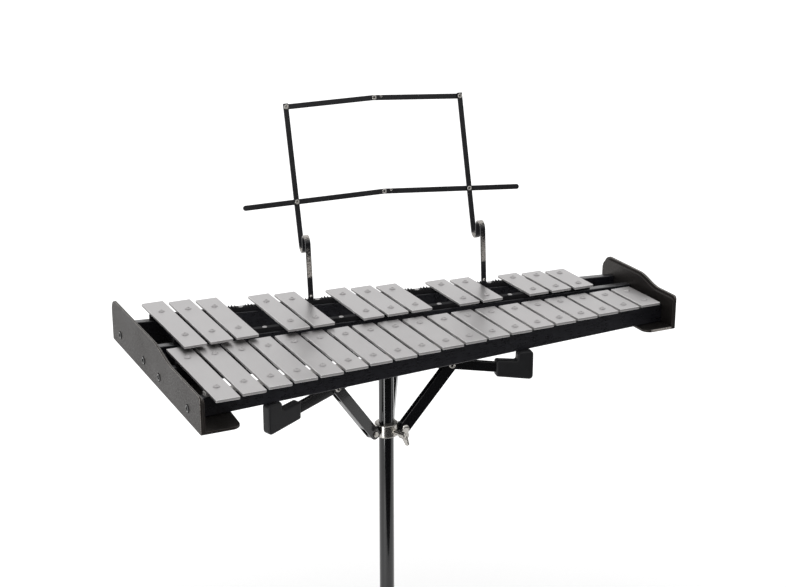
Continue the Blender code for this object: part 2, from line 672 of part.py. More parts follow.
def wing_screw(direction, start_radius, level):
    """A wing screw that points outwards from the stand's axis."""
    frame = side_frame(direction)
    turn = frame @ Matrix.Translation((start_radius, level, 0)) @ Matrix.Rotation(pi / 2, 4, "Y")
    shaft = drum("shaft", KNOB_SHAFT_RADIUS, 0.0, KNOB_REACH, PIN_SIDES, turn)
    tip = start_radius + KNOB_REACH
    dip = tip + KNOB_EAR / 2
    upper = [(dip, level), (tip + KNOB_EAR, level + KNOB_WING), (dip, level + KNOB_WING),
             (tip - KNOB_EAR / 2, level + KNOB_SHAFT_RADIUS)]
    lower = [(x, 2 * level - y) for x, y in upper[:0:-1]]
    return fuse(shaft, slab("wing", lower + upper, -KNOB_THICKNESS / 2, KNOB_THICKNESS / 2, frame))


def make_post():
    """The inner tube of the stand, closed at its top, with the cheeks that carry the basket's arms."""
    top = ARM_LEVEL + POST_ABOVE_ARMS
    bottom = top - POST_LENGTH
    bore = POST_RADIUS - POST_WALL
    tube = turned("post", [(0, top), (POST_RADIUS, top), (POST_RADIUS, bottom), (bore, bottom),
                           (bore, top - POST_TOP_CAP), (0, top - POST_TOP_CAP)], COLLAR_SIDES,
                  Matrix.Translation((STAND_X, STAND_Y, 0)))
    outer = POST_RADIUS + COLLAR_WALL
    collar = ring("collar", POST_RADIUS - FIT, outer, ARM_LEVEL - HUB_HEIGHT / 2, ARM_LEVEL + HUB_HEIGHT / 2)
    cheeks = []
    pins = []
    for direction in ARM_DIRECTIONS.values():
        frame = side_frame(direction)
        pivot = (ARM_PIVOT_RADIUS, ARM_LEVEL)
        cheeks += ears(frame, outer - COLLAR_WALL / 4, pivot, ARM_DEPTH, ARM_WIDTH)
        pins.append(pivot_pin(frame, pivot, ARM_WIDTH / 2 + SIDE_GAP + CHEEK, -HEAD_SINK))
    post = fuse(tube, collar, gather("cheeks", cheeks), gather("pins", pins))
    place("stand_post", post, BLACK_STEEL, (STAND_X, STAND_Y, bottom), parent=STAND)


def boot_outline():
    """Side view of a rubber boot: a sleeve round the arm's end and a lug that stands up at its tip."""
    tip = ARM_REACH + LUG_LENGTH / 2
    lug = ARM_REACH - LUG_LENGTH / 2
    back = tip - SLEEVE_LENGTH
    high, low = SEAT_TOP - SLEEVE_TOP_DROP, SEAT_TOP - SLEEVE_LOW_DROP
    points = arc((tip - BOOT_ROUND, SEAT_TOP - BOOT_ROUND), BOOT_ROUND, 0.0, pi / 2, CHEEK_STEPS)
    points += arc((lug + BOOT_ROUND, SEAT_TOP - BOOT_ROUND), BOOT_ROUND, pi / 2, pi, CHEEK_STEPS)
    points += [(lug, SEAT_TOP - NOTCH_DROP), (back + BOOT_EDGE, high), (back, high - BOOT_EDGE),
               (back, low + BOOT_EDGE), (back + BOOT_EDGE, low)]
    corner = (tip - BOOT_ROUND, SEAT_TOP - LUG_HEIGHT + BOOT_ROUND)
    return points + arc(corner, BOOT_ROUND, -pi / 2, 0.0, CHEEK_STEPS)


def make_arm(name, direction):
    """A basket arm: a flat bar with an eye at the post, and its rubber boot."""
    frame = side_frame(direction)
    pivot = (ARM_PIVOT_RADIUS, ARM_LEVEL)
    half = ARM_DEPTH / 2
    length = (ARM_REACH - ARM_PIVOT_RADIUS) / cos(ARM_SLOPE)
    outline = arc((0.0, 0.0), ARM_EYE_RADIUS, pi / 2, 3 * pi / 2, ROUND_STEPS)
    outline += [(ARM_DEPTH, -half), (length, -half), (length, half), (ARM_DEPTH, half)]
    sloping = frame @ Matrix.Translation((*pivot, 0)) @ Matrix.Rotation(-ARM_SLOPE, 4, "Z")
    bar = slab("bar", outline, -ARM_WIDTH / 2, ARM_WIDTH / 2, sloping)
    boot = slab("boot", boot_outline(), -BOOT_WIDTH / 2, BOOT_WIDTH / 2, frame)
    arm = cut(fuse(bar, boot), pin_hole(frame, pivot))
    place(f"basket_arm_{name}", arm, BLACK_STEEL, frame @ Vector((*pivot, 0)), direction, parent=STAND)


def make_link(name, direction, foot, head, depth, link_width, web_side):
    """A pressed channel from a tongue at its foot to a flat link at its head.

    Its web stops short of both ends, so that they fork.  The web lies on the outer, lower side where
    web_side is 1, and on the inner, upper side where it is -1.
    """
    frame = side_frame(direction)
    inner = link_width / 2 + SIDE_GAP
    outer = inner + CHEEK
    solid = slab("link", link_outline(foot, head, depth), -outer, outer, frame)
    run = (head - foot).normalized()
    side = Vector((run.y, -run.x)) * web_side
    length = (head - foot).length
    local = frame @ basis(Vector((*run, 0)), Vector((*side, 0)), Vector((0, 0, -web_side)), Vector((*foot, 0)))
    trough = block("trough", (-depth, -depth, -inner), (length + depth, depth / 2 - CHEEK, inner), local)
    forks = [block("fork", (low, 0, -inner), (high, depth, inner), local)
             for low, high in ((-depth, FORK_LENGTH), (length - FORK_LENGTH, length + depth))]
    link = cut(solid, trough, gather("forks", forks), pin_hole(frame, foot))
    heads = []
    for flip in (0.0, pi):
        moved = frame @ Matrix.Translation((*head, 0)) @ Matrix.Rotation(flip, 4, "X")
        heads.append(turned("head", [(0, outer + PIN_HEAD_HEIGHT), (PIN_HEAD_RADIUS, outer + PIN_HEAD_HEIGHT),
                                     (PIN_HEAD_RADIUS, outer - HEAD_SINK), (0, outer - HEAD_SINK)],
                            PIN_SIDES, moved))
    link = fuse(link, gather("heads", heads))
    place(name, link, BLACK_STEEL, frame @ Vector((*foot, 0)), direction, parent=STAND)


def make_strut(name, direction):
    """A basket strut, from the sliding collar up to an arm."""
    foot = Vector((STRUT_FOOT_RADIUS, STRUT_FOOT_LEVEL))
    head = Vector((STRUT_TOP_RADIUS, STRUT_TOP_LEVEL))
    make_link(f"basket_strut_{name}", direction, foot, head, STRUT_DEPTH, ARM_WIDTH, 1)


def make_slider(name, inner, level, directions, pivot_radius, depth, width, knob):
    """A collar that slides on a tube, with a tongue for each link and a wing screw to lock it."""
    outer = inner + COLLAR_WALL
    collar = ring("collar", inner, outer, level - HUB_HEIGHT / 2, level + HUB_HEIGHT / 2)
    tongues = []
    pins = []
    half = width / 2
    cheeks_outer = half + SIDE_GAP + CHEEK
    for direction in directions:
        frame = side_frame(direction)
        pivot = (pivot_radius, level)
        outline = [(outer - COLLAR_WALL / 4, level - depth / 2)]
        outline += arc(pivot, depth / 2, -pi / 2, pi / 2, CHEEK_STEPS)
        outline.append((outer - COLLAR_WALL / 4, level + depth / 2))
        tongues.append(slab("tongue", outline, -half, half, frame))
        pins.append(pivot_pin(frame, pivot, cheeks_outer, FIT))
    slider = fuse(collar, gather("tongues", tongues), gather("pins", pins),
                  wing_screw(knob, outer - COLLAR_WALL / 2, level))
    place(name, slider, BLACK_STEEL, (STAND_X, STAND_Y, level), parent=STAND)


def make_tube():
    """The outer tube with the collar that carries the legs and the clamp that holds the inner tube."""
    low, high = FLOOR + TUBE_BOTTOM, FLOOR + TUBE_TOP
    bore = POST_RADIUS + FIT
    outer = TUBE_RADIUS + COLLAR_WALL
    collar_level = FLOOR + LEG_COLLAR_HEIGHT
    tube = turned("tube", [(bore, high), (TUBE_RADIUS, high), (TUBE_RADIUS, low), (bore, low)], COLLAR_SIDES,
                  Matrix.Translation((STAND_X, STAND_Y, 0)))
    clamp = ring("clamp", TUBE_RADIUS - TUBE_WALL / 2, outer, high - CLAMP_HEIGHT, high - 2 * FIT)
    collar = ring("collar", TUBE_RADIUS - TUBE_WALL / 2, outer, collar_level - HUB_HEIGHT / 2,
                  collar_level + HUB_HEIGHT / 2)
    cheeks = []
    pins = []
    for direction in LEG_DIRECTIONS.values():
        frame = side_frame(direction)
        pivot = (LEG_PIVOT_RADIUS, collar_level)
        cheeks += ears(frame, outer - COLLAR_WALL / 4, pivot, LEG_DEPTH, LEG_WIDTH)
        pins.append(pivot_pin(frame, pivot, LEG_WIDTH / 2 + SIDE_GAP + CHEEK, -HEAD_SINK))
    screw_level = high - CLAMP_HEIGHT / 2
    tube = fuse(tube, clamp, collar, gather("cheeks", cheeks), gather("pins", pins),
                wing_screw(CLAMP_KNOB_DIRECTION, outer - COLLAR_WALL / 2, screw_level))
    place("stand_tube", tube, BLACK_STEEL, (STAND_X, STAND_Y, low), parent=STAND)


def leg_slope():
    """Angle of a leg from the vertical, from its pivot to its foot."""
    return atan2(LEG_REACH - LEG_PIVOT_RADIUS, LEG_COLLAR_HEIGHT - FOOT_HEIGHT / 2)


def make_leg(name, direction):
    """A tripod leg with a rubber foot that stands flat on the floor."""
    frame = side_frame(direction)
    pivot = (LEG_PIVOT_RADIUS, FLOOR + LEG_COLLAR_HEIGHT)
    tip = (LEG_REACH, FLOOR + FOOT_HEIGHT / 2)
    half = LEG_DEPTH / 2
    angle = atan2(tip[1] - pivot[1], tip[0] - pivot[0])
    outline = arc(pivot, half - SIDE_GAP, angle + pi / 2, angle + 3 * pi / 2, ROUND_STEPS)
    outline += arc(tip, half, angle - pi / 2, angle + pi / 2, ROUND_STEPS)
    bar = slab("bar", outline, -LEG_WIDTH / 2, LEG_WIDTH / 2, frame)
    upright = side_frame(direction) @ Matrix.Translation((LEG_REACH, FLOOR, 0)) @ Matrix.Rotation(-pi / 2, 4, "X")
    foot = turned("foot", [(0, FOOT_HEIGHT), (FOOT_TOP_RADIUS - 2 * FOOT_EDGE, FOOT_HEIGHT),
                           (FOOT_TOP_RADIUS, FOOT_HEIGHT - 2 * FOOT_EDGE), (FOOT_RADIUS, FOOT_EDGE),
                           (FOOT_RADIUS - FOOT_EDGE, 0), (0, 0)], COLLAR_SIDES, upright)
    leg = cut(fuse(bar, foot), pin_hole(frame, pivot))
    place(f"leg_{name}", leg, BLACK_STEEL, frame @ Vector((*pivot, 0)), direction, parent=STAND)


def brace_places():
    """Lower and upper pivots of a brace in side view: the leg and the brace make two equal sides."""
    slope = leg_slope()
    top = Vector((LEG_PIVOT_RADIUS, FLOOR + LEG_COLLAR_HEIGHT))
    upper = top + Vector((sin(slope), -cos(slope))) * BRACE_LENGTH
    lower = top - Vector((0.0, 2 * BRACE_LENGTH * cos(slope)))
    return lower, upper


def make_brace(name, direction):
    """A brace, from the hub up to a leg, with its web on the side that the folded leg stays clear of."""
    lower, upper = brace_places()
    make_link(f"brace_{name}", direction, lower, upper, BRACE_DEPTH, LEG_WIDTH, -1)


def group(name, parent=None):
    """An empty that holds a sub-assembly."""
    made = bpy.data.objects.new(name, None)
    KIT.objects.link(made)
    made.parent = parent
    return made


def stand_on_floor(root):
    """Move the whole kit so that it stands on Z = 0 with its box centred on the origin."""
    bpy.context.view_layer.update()
    corners = [piece.matrix_world @ vertex.co for piece in KIT.objects if piece.type == "MESH"
               for vertex in piece.data.vertices]
    lows = [min(corner[axis] for corner in corners) for axis in range(3)]
    highs = [max(corner[axis] for corner in corners) for axis in range(3)]
    root.location = (-(lows[0] + highs[0]) / 2, -(lows[1] + highs[1]) / 2, -lows[2])
    bpy.context.view_layer.update()


for old in list(bpy.data.objects):
    bpy.data.objects.remove(old)

KIT = bpy.data.collections.new("metallophone")
bpy.context.scene.collection.children.link(KIT)

ALUMINIUM = material("bar_aluminium", (0.62, 0.62, 0.62), 0.42, 1.0)
BLACK_WOOD = material("rail_black_lacquer", (0.016, 0.016, 0.018), 0.5, 0.0)
BLACK_PAINT = material("plate_black_moulding", (0.02, 0.02, 0.021), 0.38, 0.0)
BLACK_STEEL = material("black_painted_steel", (0.018, 0.018, 0.02), 0.35, 0.0)

ROOT = group("kit")
INSTRUMENT = group("instrument", ROOT)
MUSIC_REST = group("music_rest", INSTRUMENT)
STAND = group("stand", ROOT)
REST = RestFrame()

BARS, EMPTY_PLACES = bar_places()
for bar_values in BARS:
    make_bar(*bar_values)
for rail_name in RAIL_LINES:
    make_rail(rail_name, BARS, EMPTY_PLACES)
make_plate("left", LEFT_PLATE_OUTER_X, 1, LEFT_FLANGE_WIDTH, LEFT_PLATE_FRONT, LEFT_PLATE_REAR, LEFT_STEP)
make_plate("right", RIGHT_PLATE_OUTER_X, -1, RIGHT_FLANGE_WIDTH, RIGHT_PLATE_FRONT, RIGHT_PLATE_REAR, RIGHT_STEP)
make_rest()

make_post()
for arm_name, arm_direction in ARM_DIRECTIONS.items():
    make_arm(arm_name, arm_direction)
    make_strut(arm_name, arm_direction)
make_slider("basket_slider", POST_RADIUS + FIT, STRUT_FOOT_LEVEL, ARM_DIRECTIONS.values(), STRUT_FOOT_RADIUS,
            ARM_DEPTH, ARM_WIDTH, BASKET_KNOB_DIRECTION)
make_tube()
HUB_LEVEL = brace_places()[0].y
make_slider("brace_hub", TUBE_RADIUS + FIT, HUB_LEVEL, LEG_DIRECTIONS.values(), LEG_PIVOT_RADIUS,
            BRACE_DEPTH, LEG_WIDTH, HUB_KNOB_DIRECTION)
for leg_name, leg_direction in LEG_DIRECTIONS.items():
    make_leg(leg_name, leg_direction)
    make_brace(leg_name, leg_direction)
stand_on_floor(ROOT)
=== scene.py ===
"""Looks of a folding-stand bell kit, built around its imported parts.

Lengths are in millimetres from the middle of the longest bar's underside, X along the rows, Y away
from the player and Z up, until a piece is made; its mesh is then in metres in the frame of the parts.
"""

import json
import logging
import math
from dataclasses import dataclass, field
from enum import Enum
from typing import Sequence

import bmesh
import bpy
import numpy as np
from mathutils import Matrix, Vector

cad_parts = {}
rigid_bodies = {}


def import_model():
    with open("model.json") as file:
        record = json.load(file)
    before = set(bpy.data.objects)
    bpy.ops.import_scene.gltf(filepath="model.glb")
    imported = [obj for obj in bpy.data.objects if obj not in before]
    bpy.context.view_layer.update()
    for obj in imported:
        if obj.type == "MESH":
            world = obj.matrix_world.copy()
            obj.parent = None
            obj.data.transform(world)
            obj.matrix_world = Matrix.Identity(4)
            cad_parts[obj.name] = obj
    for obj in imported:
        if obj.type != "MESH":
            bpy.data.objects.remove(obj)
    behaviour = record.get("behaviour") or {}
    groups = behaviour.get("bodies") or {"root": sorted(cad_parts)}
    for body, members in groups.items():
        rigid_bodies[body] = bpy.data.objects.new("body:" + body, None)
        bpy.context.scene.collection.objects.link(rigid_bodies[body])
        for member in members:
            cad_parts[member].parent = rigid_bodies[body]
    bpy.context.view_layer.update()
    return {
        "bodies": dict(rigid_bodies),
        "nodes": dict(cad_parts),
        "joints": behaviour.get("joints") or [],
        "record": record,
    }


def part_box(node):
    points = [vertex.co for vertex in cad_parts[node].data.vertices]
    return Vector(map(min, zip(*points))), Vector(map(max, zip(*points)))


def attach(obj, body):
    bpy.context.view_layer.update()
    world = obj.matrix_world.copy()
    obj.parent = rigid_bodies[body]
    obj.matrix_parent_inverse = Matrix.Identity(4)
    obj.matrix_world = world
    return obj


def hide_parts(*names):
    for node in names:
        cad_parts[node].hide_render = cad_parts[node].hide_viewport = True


LOG = logging.getLogger("bell_kit")
MM = 0.001
PHOTO_WIDTH = 786


def linear(code: str) -> tuple[float, float, float, float]:
    """Turn an sRGB hex value such as "#a0a0a0" into a linear colour.

    Args:
        code: the hex value, with its hash sign.

    Returns:
        Red, green, blue and an alpha of one.
    """
    values = [int(code[start:start + 2], 16) / 255 for start in (1, 3, 5)]
    bent = [value / 12.92 if value <= 0.04045 else ((value + 0.055) / 1.055) ** 2.4 for value in values]
    return bent[0], bent[1], bent[2], 1.0


def add(tree: bpy.types.NodeTree, kind: str, inputs: dict | None = None, **settings: object) -> bpy.types.Node:
    """Add a node with its settings, values and links.

    Args:
        tree: the tree that gets the node.
        kind: the node's type without its "ShaderNode" start.
        inputs: for each socket, a value or the output socket that feeds it.
        **settings: the node's own attributes.

    Returns:
        The new node.
    """
    node = tree.nodes.new(f"ShaderNode{kind}")
    for key, value in settings.items():
        setattr(node, key, value)
    for key, value in (inputs or {}).items():
        if isinstance(value, bpy.types.NodeSocket):
            tree.links.new(value, node.inputs[key])
        else:
            node.inputs[key].default_value = value
    return node


class Grain(Enum):
    """Which way a finish's fine pattern runs."""

    EVEN = (1.0, 1.0, 1.0)
    ALONG_X = (0.06, 1.0, 1.0)
    ALONG_Y = (1.0, 0.03, 1.0)


@dataclass(frozen=True)
class Finish:
    """A surface finish: its colour, gloss, fine pattern, broad mottling, and wear that on some pieces also paints
    highlights and reflections.

    The fine pattern and the mottling are noise in Object coordinates, sized in millimetres.  A cut
    roughness is that of sawn faces, the ones that stand upright.
    """

    name: str
    colour: str
    second_colour: str
    roughness: float
    roughness_swing: float
    metallic: float = 0.0
    ior: float = 1.5
    specular: float = 0.5
    tint: str = "#ffffff"
    coat: float = 0.0
    coat_roughness: float = 0.1
    sheen: float = 0.0
    grain: Grain = Grain.EVEN
    grain_mm: float = 0.6
    grain_depth_mm: float = 0.02
    mottle_mm: float = 40.0
    mottle_share: float = 0.5
    worn_and_lit_colour: str = ""
    cut_roughness: float = 0.0

    def make(self) -> bpy.types.Material:
        """Build the finish's material.

        Returns:
            The material, with its fine pattern in colour, roughness and bump.
        """
        made = bpy.data.materials.new(self.name)
        made.use_nodes = True
        tree = made.node_tree
        shader = tree.nodes["Principled BSDF"]
        place = add(tree, "TexCoord").outputs["Object"]
        stretched = add(tree, "Mapping", {"Vector": place, "Scale": self.grain.value}).outputs["Vector"]
        fine = add(tree, "TexNoise", {"Vector": stretched, "Scale": 1 / (self.grain_mm * MM), "Detail": 3.0,
                                      "Roughness": 0.6}).outputs["Fac"]
        broad = add(tree, "TexNoise", {"Vector": place, "Scale": 1 / (self.mottle_mm * MM),
                                       "Detail": 2.0}).outputs["Fac"]
        blend = add(tree, "Mix", {"Factor": self.mottle_share, "A": fine, "B": broad}, data_type="FLOAT").outputs[0]
        spread = add(tree, "MapRange", {"Value": blend, "From Min": 0.3, "From Max": 0.7}).outputs["Result"]
        colour = add(tree, "Mix", {"Factor": spread, 6: linear(self.colour), 7: linear(self.second_colour)},
                     data_type="RGBA").outputs[2]
        rough = add(tree, "MapRange", {"Value": blend, "From Min": 0.3, "From Max": 0.7,
                                       "To Min": self.roughness - self.roughness_swing,
                                       "To Max": self.roughness + self.roughness_swing}).outputs["Result"]
        # Wear lightens the colour towards the worn and lit colour: real rub wear, and on some pieces painted
        # highlights and reflections.
        if self.worn_and_lit_colour:
            wear_and_painted_light = add(tree, "Attribute", attribute_name="wear_and_painted_light").outputs["Fac"]
            patchy = add(tree, "Math", {0: wear_and_painted_light, 1: fine}, operation="MULTIPLY").outputs[0]
            worn_and_lit = add(tree, "MapRange", {"Value": patchy, "From Min": 0.3, "From Max": 0.5}).outputs["Result"]
            colour = add(tree, "Mix", {"Factor": worn_and_lit, 6: colour, 7: linear(self.worn_and_lit_colour)},
                         data_type="RGBA").outputs[2]
        if self.cut_roughness:
            normal = add(tree, "TexCoord").outputs["Normal"]
            upwards = add(tree, "SeparateXYZ", {"Vector": normal}).outputs["Z"]
            facing = add(tree, "Math", {0: upwards}, operation="ABSOLUTE").outputs[0]
            cut = add(tree, "MapRange", {"Value": facing, "From Min": 0.25, "From Max": 0.05}).outputs["Result"]
            rough = add(tree, "Mix", {"Factor": cut, "A": rough, "B": self.cut_roughness},
                        data_type="FLOAT").outputs[0]
        tree.links.new(colour, shader.inputs["Base Color"])
        tree.links.new(rough, shader.inputs["Roughness"])
        bump = add(tree, "Bump", {"Height": fine, "Strength": 1.0, "Distance": self.grain_depth_mm * MM})
        tree.links.new(bump.outputs["Normal"], shader.inputs["Normal"])
        shader.inputs["Metallic"].default_value = self.metallic
        if self.metallic < 0.5:
            shader.inputs["IOR"].default_value = self.ior
            shader.inputs["Specular IOR Level"].default_value = self.specular
            shader.inputs["Specular Tint"].default_value = linear(self.tint)
        shader.inputs["Coat Weight"].default_value = self.coat
        shader.inputs["Coat Roughness"].default_value = self.coat_roughness
        shader.inputs["Sheen Weight"].default_value = self.sheen
        return made


# Rolled aluminium bars, brushed along their length and clear anodised: a pale satin grey that
# blurs what it mirrors, with duller sawn faces and edges lightened as rub wear and as painted
# highlight lines.  Brush lines of about 0.1 mm are drawn 0.5 mm apart so that they show.
BRUSHED_ALUMINIUM = Finish("brushed_anodised_aluminium", "#b6b4b4", "#c4c2c2", 0.36, 0.06, metallic=1.0,
                           grain=Grain.ALONG_Y, grain_mm=0.5, grain_depth_mm=0.006, mottle_mm=35.0,
                           mottle_share=0.5, worn_and_lit_colour="#f6f5f4", cut_roughness=0.60)
# Sprayed black lacquer on hardwood: a soft gloss over faint grain along the board.
LACQUERED_BEECH = Finish("sprayed_black_lacquer_on_beech", "#101013", "#1f1f25", 0.30, 0.07, specular=0.4,
                         coat=0.5, coat_roughness=0.22, grain=Grain.ALONG_X, grain_mm=0.9, grain_depth_mm=0.03,
                         mottle_mm=6.0, mottle_share=0.4)
# Moulded black ABS with a sparked grain, which sparkles where it mirrors light flatly, its lips
# lightened to grey as rub wear and as painted highlight lines.  Its grain of 0.6 mm is drawn at 1.7 mm so that it
# shows.
GRAINED_ABS = Finish("grained_moulded_black_abs", "#0a0909", "#1b1918", 0.42, 0.16, ior=1.5, specular=0.46,
                     tint="#fff3ea", grain_mm=1.7, grain_depth_mm=0.16, mottle_mm=60.0, mottle_share=0.2,
                     worn_and_lit_colour="#a8a39e")
# Enamelled mild steel strip: thin gloss black, lightened to grey over its bends as rub wear and painted highlights,
# and in a painted reflection band up each post.
ENAMELLED_STRIP = Finish("enamelled_steel_strip", "#131315", "#1f1f23", 0.28, 0.05, grain_mm=1.2,
                         grain_depth_mm=0.01, mottle_mm=18.0, worn_and_lit_colour="#b2ada7")
# Gloss black enamel on steel tube: narrow bright reflections on an almost black ground.
GLOSS_ENAMEL = Finish("gloss_black_enamel_on_steel", "#070708", "#0d0d10", 0.12, 0.03, coat=0.5,
                      coat_roughness=0.03, grain_mm=2.0, grain_depth_mm=0.004, mottle_mm=50.0)
# Nickel-plated steel screws and rivets: warm bright metal, lightly scratched.
NICKEL_PLATE = Finish("nickel_plated_steel", "#c9c6c1", "#b3b0ab", 0.20, 0.05, metallic=1.0, grain_mm=0.8,
                      grain_depth_mm=0.004, mottle_mm=6.0)
# Zinc-plated steel screws and washers: a duller metal than nickel, close to the bars' own grey.
ZINC_PLATE = Finish("zinc_plated_steel", "#a8a6a6", "#b8b6b6", 0.34, 0.06, metallic=1.0, grain_mm=0.6,
                    grain_depth_mm=0.01, mottle_mm=5.0)
# Black-lacquered steel screws: a black wet gloss with one keen highlight.
BLACK_SCREW = Finish("black_lacquered_steel", "#060607", "#0b0b0c", 0.10, 0.02, coat=1.0, coat_roughness=0.06,
                     grain_mm=0.8, grain_depth_mm=0.004, mottle_mm=6.0)
# Matt black rings under the end screws, which paint the shade of their recesses: they swallow the light round each
# head.
PAINTED_SHADE_BLACK = Finish("painted_shade_matt_black", "#070707", "#0d0d0d", 0.90, 0.04, specular=0.05, grain_mm=0.4,
                    grain_depth_mm=0.02, mottle_mm=5.0)
# Moulded black rubber: dull, faintly dusty and finely pitted.
MOULDED_RUBBER = Finish("moulded_black_rubber", "#0d0d0f", "#17171a", 0.50, 0.08, ior=1.52, specular=0.35,
                        sheen=0.03, grain_mm=0.7, grain_depth_mm=0.05, mottle_mm=15.0)
# Ribbed black rubber bedding strip under the bars.
RIBBED_RUBBER = Finish("ribbed_black_rubber", "#08080a", "#18171a", 0.75, 0.10, specular=0.2, grain_mm=1.2,
                       grain_depth_mm=0.15, mottle_mm=10.0)
# Pressed pale wool felt bedding strip: soft and fibrous, with no gloss.
PRESSED_FELT = Finish("pressed_pale_wool_felt", "#9a9896", "#b4b2af", 0.92, 0.04, sheen=0.3, grain_mm=0.5,
                      grain_depth_mm=0.10, mottle_mm=12.0)


@dataclass
class Shell:
    """Points in millimetres and blocks of faces that hold their numbers."""

    points: np.ndarray
    faces: list[np.ndarray]

    def placed(self, frame: np.ndarray) -> "Shell":
        """Return the shell moved by a 4 by 4 frame."""
        return Shell(self.points @ frame[:3, :3].T + frame[:3, 3], self.faces)


def joined(shells: Sequence[Shell]) -> Shell:
    """Gather shells into one.

    Args:
        shells: the shells, each closed in itself.

    Returns:
        One shell with all their points and faces.
    """
    starts = np.cumsum([0] + [len(shell.points) for shell in shells[:-1]])
    faces = [block + start for shell, start in zip(shells, starts) for block in shell.faces]
    return Shell(np.concatenate([shell.points for shell in shells]), faces)


def grid(points: np.ndarray, capped: bool = True) -> Shell:
    """Skin a grid of points whose columns close on themselves.

    Args:
        points: rows by columns by 3; each row is a ring.
        capped: whether the first and last rings are filled.

    Returns:
        Quads between neighbouring rings, and a polygon over each end where it is capped.
    """
    rows, columns = points.shape[:2]
    index = np.arange(rows * columns).reshape(rows, columns)
    around = np.hstack([index, index[:, :1]])
    quads = np.stack([around[:-1, :-1], around[:-1, 1:], around[1:, 1:], around[1:, :-1]], axis=-1)
    faces = [quads.reshape(-1, 4)]
    if capped:
        faces += [index[:1, ::-1], index[-1:]]
    return Shell(points.reshape(-1, 3), faces)


def lathe(profile: Sequence[tuple[float, float]], sides: int = 32) -> Shell:
    """Turn a profile about Z: x = r cos a, y = r sin a, z = z, for r and z along the profile.

    Args:
        profile: (radius, height) points; a radius of zero closes an end, and a profile that
            comes back to its start makes a ring.
        sides: steps around.

    Returns:
        The turned shell.
    """
    line = np.array(profile, float)
    angle = np.linspace(0, 2 * np.pi, sides, endpoint=False)
    points = np.stack([line[:, :1] * np.cos(angle), line[:, :1] * np.sin(angle),
                       np.repeat(line[:, 1:], sides, axis=1)], axis=-1)
    return grid(points, capped=False)


def rounded(corners: Sequence[tuple[float, float]], radii: float | Sequence[float], steps: int = 5) -> np.ndarray:
    """Round a polygon's corners: each becomes an arc that touches its two sides.

    Args:
        corners: the polygon's corners, anticlockwise.
        radii: one radius, or one for each corner.
        steps: points on each arc less one.

    Returns:
        The rounded outline's points.
    """
    here = np.array(corners, float)
    radius = np.broadcast_to(np.array(radii, float), (len(here),))[:, None]
    back = np.roll(here, 1, axis=0) - here
    ahead = np.roll(here, -1, axis=0) - here
    back /= np.linalg.norm(back, axis=1, keepdims=True)
    ahead /= np.linalg.norm(ahead, axis=1, keepdims=True)
    half = np.arccos(np.clip((back * ahead).sum(1, keepdims=True), -1, 1)) / 2
    middle = back + ahead
    middle /= np.maximum(np.linalg.norm(middle, axis=1, keepdims=True), 1e-9)
    centre = here + middle * radius / np.sin(half)
    first = here + back * radius / np.tan(half) - centre
    last = here + ahead * radius / np.tan(half) - centre
    sweep = np.maximum(np.pi - 2 * half, 1e-6)
    share = np.linspace(0, 1, steps + 1)[None, :]
    a = np.sin((1 - share) * sweep) / np.sin(sweep)
    b = np.sin(share * sweep) / np.sin(sweep)
    points = centre[:, None] + a[..., None] * first[:, None] + b[..., None] * last[:, None]
    return points.reshape(-1, 2)


def inset(outline: np.ndarray, distance: float) -> np.ndarray:
    """Move an anticlockwise outline inwards: each point along the mitre of its two sides.

    Args:
        outline: the outline's points.
        distance: how far its sides move inwards.

    Returns:
        The moved points.
    """
    before = outline - np.roll(outline, 1, axis=0)
    after = np.roll(outline, -1, axis=0) - outline
    before /= np.maximum(np.linalg.norm(before, axis=1, keepdims=True), 1e-9)
    after /= np.maximum(np.linalg.norm(after, axis=1, keepdims=True), 1e-9)
    run = before + after
    run /= np.maximum(np.linalg.norm(run, axis=1, keepdims=True), 1e-9)
    stretch = 1 / np.maximum((run * before).sum(1, keepdims=True), 0.5)
    normal = np.stack([-run[:, 1], run[:, 0]], axis=1)
    return outline + normal * stretch * distance


def slab(outline: np.ndarray, low: float, high: float, ease: float, steps: int = 3) -> Shell:
    """Give an outline a thickness and quarter-round edges.

    Args:
        outline: the outline in X and Y, anticlockwise.
        low: its underside along Z.
        high: its upper side.
        ease: radius of its edges; a ring at angle a lies ease (1 - cos a) inwards and
            ease (1 - sin a) from the face.
        steps: steps round each edge.

    Returns:
        The closed slab.
    """
    turn = np.linspace(np.pi / 2, 0, steps + 1)
    inwards = ease * (1 - np.cos(turn))
    depth = ease * (1 - np.sin(turn))
    rings = [np.column_stack([inset(outline, step), np.full(len(outline), low + up)])
             for step, up in zip(inwards, depth)]
    rings += [np.column_stack([inset(outline, step), np.full(len(outline), high - up)])
              for step, up in zip(inwards[::-1], depth[::-1])]
    return grid(np.stack(rings))


def edge_wear_and_highlight(shell: Shell, axis: int, ease: float) -> np.ndarray:
    """Return wear and painted highlight along a slab's eased edges: 4 t (1 - t), for t the depth below its face over
    the ease.

    Args:
        shell: the slab.
        axis: which axis its thickness runs along.
        ease: the radius of its edges.

    Returns:
        The wear and painted highlight at each point, full in the middle of each edge and none on faces and sides.
    """
    height = shell.points[:, axis]
    depth = np.clip(np.minimum(height - height.min(), height.max() - height) / ease, 0, 1)
    return 4 * depth * (1 - depth)


